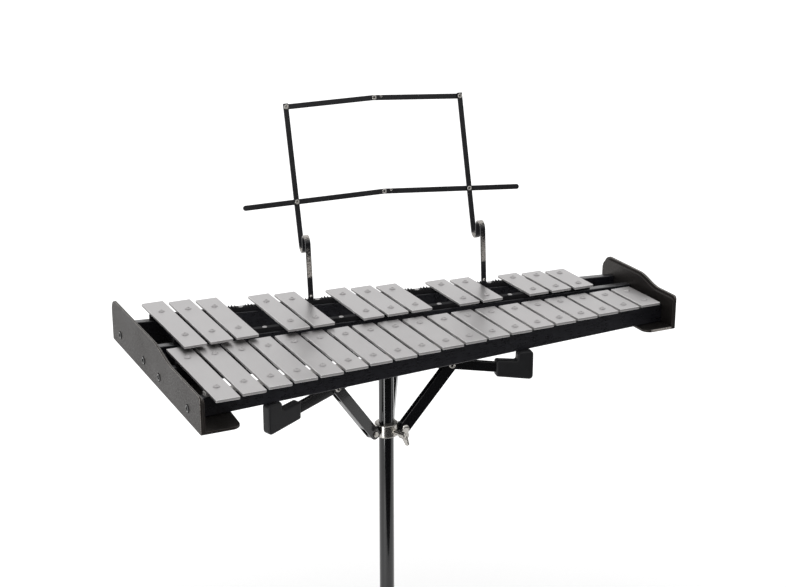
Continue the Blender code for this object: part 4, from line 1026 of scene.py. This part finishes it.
@dataclass
class Stand:
    """What the basket and the tripod share: the stand's axis and the shapes of its fittings."""

    shop: Workshop
    x: float = 206.0
    y: float = 0.0
    seat: float = -24.6
    rest_height: float = 640.0
    post_radius: float = 8.05
    tube_radius: float = 9.8
    collar_wall: float = 4.5
    hub_height: float = 14.0
    side_gap: float = 0.4
    cheek: float = 1.7

    @property
    def floor(self) -> float:
        """Return the floor's level."""
        return self.seat - self.rest_height

    def upright_frame(self, direction: float) -> np.ndarray:
        """Return the upright plane through the axis: X outwards, Y up, Z sideways."""
        outwards = np.array((math.cos(direction), math.sin(direction), 0.0))
        up = np.array((0.0, 0.0, 1.0))
        return axes(outwards, up, np.cross(outwards, up), (self.x, self.y, 0.0))

    def turned(self, profile: Sequence[tuple[float, float]], sides: int = 48) -> Shell:
        """Return a profile turned about the stand's axis."""
        return lathe(profile, sides).placed(moved(self.x, self.y))

    def collar(self, inner: float, outer: float, low: float, high: float) -> Shell:
        """Return a ring about the axis with rounded outer edges."""
        ease = 1.0
        upper = arc((outer - ease, high - ease), ease, np.pi / 2, 0.0, 4)
        lower = arc((outer - ease, low + ease), ease, 0.0, -np.pi / 2, 4)
        return self.turned([(inner, high), *upper.tolist(), *lower.tolist(), (inner, low), (inner, high)])

    def ears(self, direction: float, start: float, pivot: tuple[float, float], depth: float,
             half_gap: float) -> list[Shell]:
        """Return two cheeks out of a collar, beside a link that turns about the pivot."""
        outline = np.concatenate([[(start, pivot[1] - depth / 2)],
                                  arc(pivot, depth / 2, -np.pi / 2, np.pi / 2, 12),
                                  [(start, pivot[1] + depth / 2)]])
        frame = self.upright_frame(direction)
        return [slab(outline, low, low + self.cheek, 0.35, 2).placed(frame)
                for low in (-half_gap - self.cheek, half_gap)]

    def tongue(self, direction: float, start: float, pivot: tuple[float, float], depth: float,
               half: float) -> Shell:
        """Return one lug out of a collar, between the cheeks of a link."""
        outline = np.concatenate([[(start, pivot[1] - depth / 2)],
                                  arc(pivot, depth / 2, -np.pi / 2, np.pi / 2, 12),
                                  [(start, pivot[1] + depth / 2)]])
        return slab(outline, -half, half, 0.5, 2).placed(self.upright_frame(direction))

    def bolt(self, direction: float, pivot: tuple[float, float], half: float) -> Shell:
        """Return a pivot bolt: a domed head on one side, a nut on the other and the shank between."""
        frame = self.upright_frame(direction)
        head = lathe([(0, 1.5), (1.6, 1.4), (2.9, 0.9), (3.6, 0.1), (3.6, -0.2), (0, -0.2)], 24)
        nut = lathe([(0, 1.9), (1.5, 1.9), (1.6, 1.4), (2.9, 1.4), (3.5, 1.0), (3.5, -0.2), (0, -0.2)], 6)
        shank = lathe([(0, half), (2.0, half), (2.0, -half), (0, -half)], 20)
        spot = moved(pivot[0], pivot[1])
        flip = axes((1, 0, 0), (0, -1, 0), (0, 0, -1), (0, 0, 0))
        parts = [head.placed(moved(z=half)), nut.placed(flip).placed(moved(z=-half)), shank]
        return joined(parts).placed(spot).placed(frame)

    def wing_screw(self, direction: float, start: float, level: float) -> Shell:
        """Shape a wing screw that points outwards from the axis.

        The wings' outline is two rounded ears; its thickness is eased all round.

        Args:
            direction: which way it points, in radians.
            start: where its shank starts, from the axis.
            level: its height.

        Returns:
            The shank, its boss and the wings.
        """
        reach, wing, half = 17.0, 10.6, 1.45
        tip = start + reach
        along = self.upright_frame(direction) @ axes((0, 0, 1), (0, 1, 0), (-1, 0, 0), (start, level, 0))
        along[:3, :3] = np.column_stack([self.upright_frame(direction)[:3, 2], (0, 0, 1),
                                         self.upright_frame(direction)[:3, 0]])
        shank = lathe([(0, -2), (3.05, -2), (3.05, 11), (4.4, 11.6), (4.4, 19.2), (3.6, 20.0), (0, 20.0)], 24)
        corners = [(tip - 4, level - 3), (tip + 2.4, level - wing), (tip + 6.8, level - wing),
                   (tip + 3.2, level), (tip + 6.8, level + wing), (tip + 2.4, level + wing),
                   (tip - 4, level + 3)]
        wings = slab(rounded(corners, (0.6, 1.8, 1.8, 1.2, 1.8, 1.8, 0.6), 5), -half, half, 0.7, 3)
        return joined([shank.placed(along), wings.placed(self.upright_frame(direction))])

    def channel(self, direction: float, start: tuple[float, float], end: tuple[float, float], depth: float,
                half: float, fork: float, web_side: int) -> Shell:
        """Shape a pressed channel between two pivots: two cheeks and a web that stops short of the ends.

        Args:
            direction: the plane that it stands in.
            start: its lower pivot, outwards and up.
            end: its upper pivot.
            depth: its depth.
            half: from its middle plane to the inner side of a cheek.
            fork: how far the web stops short of each pivot.
            web_side: 1 for a web on the outer, lower side, -1 for the inner, upper side.

        Returns:
            The cheeks and the web.
        """
        run = np.subtract(end, start)
        length = float(np.linalg.norm(run))
        run = run / length
        turn = axes((run[0], run[1], 0), (-run[1] * web_side, run[0] * web_side, 0), (0, 0, web_side),
                    (start[0], start[1], 0))
        outline = np.concatenate([arc((0.0, 0.0), depth / 2, np.pi / 2, 1.5 * np.pi, 12),
                                  arc((length, 0.0), depth / 2, -np.pi / 2, np.pi / 2, 12)])
        cheeks = [slab(outline, low, low + self.cheek, 0.4, 2) for low in (-half - self.cheek, half)]
        outer = half + self.cheek
        bottom = -depth / 2
        section = rounded([(-outer + 0.1, bottom), (outer - 0.1, bottom), (outer - 0.1, bottom + self.cheek),
                           (-outer + 0.1, bottom + self.cheek)], 0.3, 2)
        web = [(fork, 0.0), (length - fork, 0.0)]
        rings = np.array([[(x, through, across) for across, through in section] for x, _ in web])
        return joined([*cheeks, grid(rings)]).placed(turn).placed(self.upright_frame(direction))


@dataclass
class Basket(Stand):
    """The inner tube, its three arms with rubber boots, the struts and the sliding collar."""

    directions: dict[str, float] = field(default_factory=lambda: {
        "left": math.radians(197.9), "right": math.radians(349.5), "rear": math.radians(56.2)})
    arm_reach: float = 155.0
    arm_depth: float = 11.0
    arm_width: float = 5.6
    arm_rise: float = 2.0
    arm_slope: float = math.radians(9.7)
    arm_pivot: float = 18.0
    boot_width: float = 11.0
    lug_length: float = 18.0
    lug_height: float = 33.5
    sleeve_length: float = 42.0
    sleeve_drop: float = 7.0
    sleeve_low_drop: float = 26.0
    notch_drop: float = 10.3
    strut_top: float = 72.0
    strut_foot: float = 20.0
    strut_drop: float = 67.0
    strut_depth: float = 12.0
    fork: float = 17.0
    post_length: float = 437.0
    post_wall: float = 1.6
    above_arms: float = 9.0
    knob: float = math.radians(-70)

    @property
    def arm_level(self) -> float:
        """Return the height of the arms' pivots."""
        return self.seat + self.arm_rise

    @property
    def strut_head(self) -> tuple[float, float]:
        """Return a strut's upper pivot, outwards and up, on the middle line of its sloping arm."""
        return self.strut_top, self.arm_level - (self.strut_top - self.arm_pivot) * math.tan(self.arm_slope)

    def make_post(self) -> None:
        """Make the inner tube with its arm collar, cheeks and bolts."""
        top = self.arm_level + self.above_arms
        bottom = top - self.post_length
        bore = self.post_radius - self.post_wall
        cap = arc((self.post_radius - 1.2, top - 1.2), 1.2, np.pi / 2, 0.0, 4)
        tube = self.turned([(0, top), *cap.tolist(), (self.post_radius, bottom + 0.4),
                            (self.post_radius - 0.4, bottom), (bore, bottom), (bore, top - 3), (0, top - 3)])
        outer = self.post_radius + self.collar_wall
        half = self.hub_height / 2
        collar = self.collar(self.post_radius - 0.2, outer, self.arm_level - half, self.arm_level + half)
        pivot = (self.arm_pivot, self.arm_level)
        gap = self.arm_width / 2 + self.side_gap
        shells, bolts = [tube, collar], []
        for direction in self.directions.values():
            shells += self.ears(direction, outer - 1.2, pivot, self.arm_depth, gap)
            bolts.append(self.bolt(direction, pivot, gap + self.cheek))
        self.shop.piece("post_tube", joined(shells), GLOSS_ENAMEL, "post", "black_painted_steel", ["stand_post"])
        self.shop.piece("post_bolts", joined(bolts), NICKEL_PLATE, "post", "black_painted_steel")

    def boot_outline(self) -> np.ndarray:
        """Return a rubber boot's side view: the sleeve round the arm and the lug at its tip."""
        tip = self.arm_reach + self.lug_length / 2
        lug = self.arm_reach - self.lug_length / 2
        back = tip - self.sleeve_length
        corners = [(tip, self.seat), (lug, self.seat), (lug, self.seat - self.notch_drop),
                   (back, self.seat - self.sleeve_drop), (back, self.seat - self.sleeve_low_drop),
                   (tip, self.seat - self.lug_height)]
        return rounded(corners, (4.2, 4.2, 2.2, 2.4, 2.4, 4.2), 7)

    def make_arm(self, name: str, direction: float) -> None:
        """Make one arm with its boot, and its strut with the bolt at its upper pivot."""
        frame = self.upright_frame(direction)
        pivot = (self.arm_pivot, self.arm_level)
        half = self.arm_depth / 2
        eye = arc((0.0, 0.0), half - self.side_gap, np.pi / 2, 1.5 * np.pi, 12)
        end = (self.arm_reach - 4.0 - self.arm_pivot) / math.cos(self.arm_slope)
        outline = np.concatenate([eye, [(self.arm_depth, -half), (end, -half), (end, half),
                                        (self.arm_depth, half)]])
        cosine, sine = math.cos(self.arm_slope), math.sin(self.arm_slope)
        sloping = axes((cosine, -sine, 0), (sine, cosine, 0), (0, 0, 1), (*pivot, 0))
        bar = slab(outline, -self.arm_width / 2, self.arm_width / 2, 0.7, 3).placed(sloping).placed(frame)
        self.shop.piece(f"basket_arm_{name}_bar", bar, GLOSS_ENAMEL, f"arm_{name}", "black_painted_steel",
                        [f"basket_arm_{name}"])
        boot = slab(self.boot_outline(), -self.boot_width / 2, self.boot_width / 2, 2.2, 5).placed(frame)
        self.shop.piece(f"basket_arm_{name}_boot", boot, MOULDED_RUBBER, f"arm_{name}", "black_painted_steel")
        head = self.strut_head
        foot = (self.strut_foot, head[1] - self.strut_drop)
        gap = self.arm_width / 2 + self.side_gap
        strut = self.channel(direction, foot, head, self.strut_depth, gap, self.fork, 1)
        self.shop.piece(f"basket_strut_{name}_channel", strut, GLOSS_ENAMEL, f"strut_{name}",
                        "black_painted_steel", [f"basket_strut_{name}"])
        flip = axes((1, 0, 0), (0, -1, 0), (0, 0, -1), (0, 0, 0))
        rivet = tube_rivet(3.7, 1.3)
        outer = gap + self.cheek
        heads = joined([rivet.placed(moved(z=outer)), rivet.placed(flip).placed(moved(z=-outer))])
        self.shop.piece(f"basket_strut_{name}_rivets", heads.placed(moved(*head)).placed(frame), NICKEL_PLATE,
                        f"strut_{name}", "black_painted_steel")

    def make_slider(self) -> None:
        """Make the collar that slides on the inner tube, its lugs, bolts and wing screw."""
        level = self.strut_head[1] - self.strut_drop
        outer = self.post_radius + 0.2 + self.collar_wall
        half = self.hub_height / 2
        shells = [self.collar(self.post_radius + 0.2, outer, level - half, level + half)]
        bolts = []
        pivot = (self.strut_foot, level)
        gap = self.arm_width / 2 + self.side_gap
        for direction in self.directions.values():
            shells.append(self.tongue(direction, outer - 1.2, pivot, self.arm_depth, gap - self.side_gap))
            bolts.append(self.bolt(direction, pivot, gap + self.cheek + 0.3))
        self.shop.piece("slider_sleeve", shells[0], NICKEL_PLATE, "slider", "black_painted_steel",
                        ["basket_slider"])
        self.shop.piece("slider_lugs", joined(shells[1:]), GLOSS_ENAMEL, "slider", "black_painted_steel")
        self.shop.piece("slider_bolts", joined(bolts + [self.wing_screw(self.knob, outer - 2.2, level)]),
                        NICKEL_PLATE, "slider", "black_painted_steel")

    def make(self) -> None:
        """Make the inner tube, the arms and struts, and the sliding collar."""
        self.make_post()
        for name, direction in self.directions.items():
            self.make_arm(name, direction)
            LOG.info("basket arm %s: bar, boot and strut", name)
        self.make_slider()
        LOG.info("basket: inner tube and sliding collar")


@dataclass
class Tripod(Stand):
    """The outer tube with its clamp and leg collar, the legs with rubber feet, the braces and their hub."""

    directions: dict[str, float] = field(default_factory=lambda: {
        "front": math.radians(270.0), "right": math.radians(30.0), "left": math.radians(150.0)})
    tube_bottom: float = 42.0
    tube_top: float = 345.0
    tube_bore: float = 8.2
    collar_height: float = 300.0
    clamp_height: float = 24.0
    leg_pivot: float = 21.0
    leg_reach: float = 300.0
    leg_depth: float = 11.0
    leg_width: float = 7.0
    brace_length: float = 120.0
    brace_depth: float = 10.0
    foot_height: float = 22.0
    foot_radius: float = 11.0
    fork: float = 17.0
    clamp_knob: float = math.radians(-60)
    hub_knob: float = math.radians(-30)

    @property
    def slope(self) -> float:
        """Return a leg's angle from the vertical."""
        return math.atan2(self.leg_reach - self.leg_pivot, self.collar_height - self.foot_height / 2)

    def make_tube(self) -> None:
        """Make the outer tube with its clamp, leg collar, cheeks, bolts and wing screw."""
        low, high = self.floor + self.tube_bottom, self.floor + self.tube_top
        outer = self.tube_radius + self.collar_wall
        level = self.floor + self.collar_height
        half = self.hub_height / 2
        tube = self.turned([(self.tube_bore, high), (self.tube_radius, high), (self.tube_radius, low),
                            (self.tube_bore, low), (self.tube_bore, high)])
        clamp = self.collar(self.tube_radius - 0.6, outer, high - self.clamp_height, high - 0.5)
        collar = self.collar(self.tube_radius - 0.6, outer, level - half, level + half)
        pivot = (self.leg_pivot, level)
        gap = self.leg_width / 2 + self.side_gap
        shells, bolts = [tube, clamp, collar], []
        for direction in self.directions.values():
            shells += self.ears(direction, outer - 1.2, pivot, self.leg_depth, gap)
            bolts.append(self.bolt(direction, pivot, gap + self.cheek))
        bolts.append(self.wing_screw(self.clamp_knob, outer - 2.2, high - self.clamp_height / 2))
        self.shop.piece("outer_tube", joined(shells), GLOSS_ENAMEL, "stand", "black_painted_steel", ["stand_tube"])
        self.shop.piece("outer_tube_bolts", joined(bolts), NICKEL_PLATE, "stand", "black_painted_steel")

    def make_leg(self, name: str, direction: float) -> None:
        """Make a leg with its rubber foot, and its brace with the rivets at its upper pivot."""
        frame = self.upright_frame(direction)
        pivot = (self.leg_pivot, self.floor + self.collar_height)
        tip = (self.leg_reach, self.floor + self.foot_height / 2)
        half = self.leg_depth / 2
        angle = math.atan2(tip[1] - pivot[1], tip[0] - pivot[0])
        outline = np.concatenate([arc(pivot, half - self.side_gap, angle + np.pi / 2, angle + 1.5 * np.pi, 12),
                                  arc(tip, half, angle - np.pi / 2, angle + np.pi / 2, 12)])
        bar = slab(outline, -self.leg_width / 2, self.leg_width / 2, 1.0, 3).placed(frame)
        self.shop.piece(f"leg_{name}_bar", bar, GLOSS_ENAMEL, f"leg_{name}", "black_painted_steel",
                        [f"leg_{name}"])
        r, h = self.foot_radius, self.foot_height
        profile = [(0, h), (5.6, h), (6.8, h - 0.8), (7.3, h - 3.0), (8.3, 9.0), (9.0, 8.4), (9.0, 7.4),
                   (8.6, 6.8), (9.6, 3.6), (10.3, 3.2), (10.3, 2.4), (r - 0.1, 1.8), (r - 0.1, 0.8),
                   (r - 1.0, 0.0), (0, 0)]
        spot = frame @ moved(self.leg_reach, self.floor)
        foot = lathe(profile, 36).placed(moved(spot[0, 3], spot[1, 3], self.floor))
        self.shop.piece(f"leg_{name}_foot", foot, MOULDED_RUBBER, f"leg_{name}", "black_painted_steel")
        upper = (pivot[0] + self.brace_length * math.sin(self.slope),
                 pivot[1] - self.brace_length * math.cos(self.slope))
        lower = (pivot[0], pivot[1] - 2 * self.brace_length * math.cos(self.slope))
        gap = self.leg_width / 2 + self.side_gap
        brace = self.channel(direction, lower, upper, self.brace_depth, gap, self.fork, -1)
        self.shop.piece(f"brace_{name}_channel", brace, GLOSS_ENAMEL, f"brace_{name}", "black_painted_steel",
                        [f"brace_{name}"])
        flip = axes((1, 0, 0), (0, -1, 0), (0, 0, -1), (0, 0, 0))
        rivet = tube_rivet(3.7, 1.3)
        outer = gap + self.cheek
        heads = joined([rivet.placed(moved(z=outer)), rivet.placed(flip).placed(moved(z=-outer))])
        self.shop.piece(f"brace_{name}_rivets", heads.placed(moved(*upper)).placed(frame), NICKEL_PLATE,
                        f"brace_{name}", "black_painted_steel")

    def make_hub(self) -> None:
        """Make the brace hub with its lugs, bolts and wing screw."""
        level = self.floor + self.collar_height - 2 * self.brace_length * math.cos(self.slope)
        inner = self.tube_radius + 0.2
        outer = inner + self.collar_wall
        half = self.hub_height / 2
        shells = [self.collar(inner, outer, level - half, level + half)]
        bolts = []
        pivot = (self.leg_pivot, level)
        gap = self.leg_width / 2 + self.side_gap
        for direction in self.directions.values():
            shells.append(self.tongue(direction, outer - 1.2, pivot, self.brace_depth, gap - self.side_gap))
            bolts.append(self.bolt(direction, pivot, gap + self.cheek + 0.3))
        bolts.append(self.wing_screw(self.hub_knob, outer - 2.2, level))
        self.shop.piece("hub_collar", joined(shells), GLOSS_ENAMEL, "hub", "black_painted_steel", ["brace_hub"])
        self.shop.piece("hub_bolts", joined(bolts), NICKEL_PLATE, "hub", "black_painted_steel")

    def make(self) -> None:
        """Make the outer tube, the legs and braces, and the hub."""
        self.make_tube()
        for name, direction in self.directions.items():
            self.make_leg(name, direction)
            LOG.info("leg %s: bar, foot and brace", name)
        self.make_hub()
        LOG.info("tripod: outer tube and hub")


@dataclass
class Studio:
    """A pale floor, a bright sweep behind and overhead, soft lamps and the photograph's camera."""

    origin: np.ndarray
    camera_place: tuple[float, float, float] = (-464.93, -1439.79, 586.41)
    yaw: float = math.radians(25.33)
    pitch: float = math.radians(18.51)
    roll: float = math.radians(-0.14)
    focal_px: float = 1604.4
    centre_shift_px: tuple[float, float] = (1.9, -0.9)
    floor_front: float = -0.75
    floor_reach: float = 30.0
    floor_glow: tuple[float, float] = (0.12, 0.50)
    mirrored_glow: float = 0.28
    bright_way: tuple[float, float, float] = (0.35, 0.80, 0.50)
    backward_rise: tuple[float, float] = (-0.45, 0.5)
    upward_rise: tuple[float, float] = (0.12, 0.5)
    dark_strength: float = 0.04
    bright_strength: float = 1.0

    def make_floor(self) -> None:
        """Make the floor: a pale matt sheet that shows near white to the camera but keeps the shadow.

        It ends in front of the instrument, so that upright front faces mirror the dark studio.
        """
        far = self.floor_reach
        mesh = bpy.data.meshes.new("floor")
        mesh.from_pydata([(-far, self.floor_front, 0), (far, self.floor_front, 0), (far, far, 0), (-far, far, 0)],
                         [], [(0, 1, 2, 3)])
        floor = bpy.data.objects.new("floor", mesh)
        bpy.context.scene.collection.objects.link(floor)
        made = bpy.data.materials.new("matt_white_sheet")
        made.use_nodes = True
        tree = made.node_tree
        shader = tree.nodes["Principled BSDF"]
        shader.inputs["Base Color"].default_value = linear("#e6e6e6")
        shader.inputs["Roughness"].default_value = 0.9
        shader.inputs["Specular IOR Level"].default_value = 0.1
        place = add(tree, "TexCoord").outputs["Object"]
        away = add(tree, "VectorMath", {0: place}, operation="LENGTH").outputs["Value"]
        near, wide = self.floor_glow
        glow = add(tree, "MapRange", {"Value": away, "From Min": 0.5, "From Max": 1.6, "To Min": near,
                                      "To Max": wide}, interpolation_type="SMOOTHSTEP").outputs["Result"]
        path = add(tree, "LightPath").outputs
        mirrored = add(tree, "Math", {0: path["Is Glossy Ray"], 1: self.mirrored_glow}, operation="MULTIPLY")
        seen = add(tree, "Math", {0: path["Is Camera Ray"], 1: mirrored.outputs[0]}, operation="MAXIMUM")
        strength = add(tree, "Math", {0: seen.outputs[0], 1: glow}, operation="MULTIPLY")
        shader.inputs["Emission Color"].default_value = (1.0, 1.0, 1.0, 1.0)
        tree.links.new(strength.outputs[0], shader.inputs["Emission Strength"])
        mesh.materials.append(made)

    def make_world(self) -> None:
        """Make the world: white to the camera; as a light, bright behind and overhead and dark low in front.

        Its strength rises smoothly with the cosine between a direction and the bright way, or with
        the direction's height, whichever gives more.
        """
        world = bpy.data.worlds.new("studio")
        bpy.context.scene.world = world
        world.use_nodes = True
        tree = world.node_tree
        toward = add(tree, "TexCoord").outputs["Generated"]
        bright_way = Vector(self.bright_way).normalized()
        cosine = add(tree, "VectorMath", {0: toward, 1: bright_way}, operation="DOT_PRODUCT").outputs["Value"]
        height = add(tree, "SeparateXYZ", {"Vector": toward}).outputs["Z"]
        rises = [add(tree, "MapRange", {"Value": value, "From Min": start, "From Max": end,
                                        "To Min": self.dark_strength, "To Max": self.bright_strength},
                     interpolation_type="SMOOTHSTEP").outputs["Result"]
                 for value, (start, end) in ((cosine, self.backward_rise), (height, self.upward_rise))]
        light = add(tree, "Math", {0: rises[0], 1: rises[1]}, operation="MAXIMUM").outputs[0]
        path = add(tree, "LightPath").outputs
        strength = add(tree, "Mix", {"Factor": path["Is Camera Ray"], "A": light, "B": 1.0},
                       data_type="FLOAT").outputs[0]
        back = tree.nodes["Background"]
        back.inputs["Color"].default_value = (1.0, 1.0, 1.0, 1.0)
        tree.links.new(strength, back.inputs["Strength"])

    def make_lamp(self, name: str, place: tuple[float, float, float], size: tuple[float, float],
                  watts: float, mirrored: bool) -> None:
        """Hang a soft box that faces the instrument.

        Args:
            name: the lamp's name.
            place: where it hangs, in metres from the middle of the floor.
            size: its width and height in metres.
            watts: its power.
            mirrored: whether glossy surfaces show it.
        """
        data = bpy.data.lights.new(name, "AREA")
        data.shape = "RECTANGLE"
        data.size, data.size_y = size
        data.energy = watts
        lamp = bpy.data.objects.new(name, data)
        lamp.location = place
        lamp.visible_camera = False
        lamp.visible_glossy = mirrored
        lamp.rotation_euler = (Vector((0, 0, 0.62)) - Vector(place)).to_track_quat("-Z", "Y").to_euler()
        bpy.context.scene.collection.objects.link(lamp)

    def make_camera(self) -> None:
        """Set the camera at the photograph's place, angle and lens."""
        data = bpy.data.cameras.new("camera")
        data.sensor_width = 36.0
        data.lens = self.focal_px * data.sensor_width / PHOTO_WIDTH
        data.shift_x = -self.centre_shift_px[0] / PHOTO_WIDTH
        data.shift_y = self.centre_shift_px[1] / PHOTO_WIDTH
        data.clip_end = 200.0
        camera = bpy.data.objects.new("camera", data)
        camera.location = self.origin + np.array(self.camera_place) * MM
        turn = Matrix.Rotation(-self.yaw, 4, "Z") @ Matrix.Rotation(math.pi / 2 - self.pitch, 4, "X")
        camera.rotation_euler = (turn @ Matrix.Rotation(self.roll, 4, "Z")).to_euler()
        bpy.context.scene.collection.objects.link(camera)
        bpy.context.scene.camera = camera

    def make(self) -> None:
        """Set up the floor, the world, the lamps and the camera."""
        self.make_floor()
        self.make_world()
        self.make_lamp("overhead_box", (0.1, 0.35, 2.5), (1.8, 1.4), 5.0, False)
        self.make_lamp("left_strip", (-0.93, -0.58, 0.62), (0.25, 1.1), 4.3, True)
        self.make_camera()
        bpy.context.scene.view_settings.view_transform = "Standard"
        LOG.info("studio: floor, world, lamps and camera")


def main() -> None:
    logging.basicConfig(level=logging.INFO, format="%(name)s: %(message)s")
    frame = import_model()
    low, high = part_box("bar_F5")
    origin = np.array(((low.x + high.x) / 2, (low.y + high.y) / 2 + 6.2 * MM, low.z))
    shop = Workshop(origin)
    keyboard = Keyboard(shop, frame["nodes"])
    keyboard.make()
    EndPlate(shop, keyboard, "left", -31.0, 1, 42.0, 38.0, 31.0, (-4.0, 62.0), flange_flare=18.0).make()
    EndPlate(shop, keyboard, "right", 549.5, -1, 39.0, 26.0, 22.0, (-3.0, 38.0), flange_highlight=1.0).make()
    MusicRest(shop, keyboard).make()
    Basket(shop).make()
    Tripod(shop).make()
    Studio(origin).make()


if __name__ == "__main__":
    main()
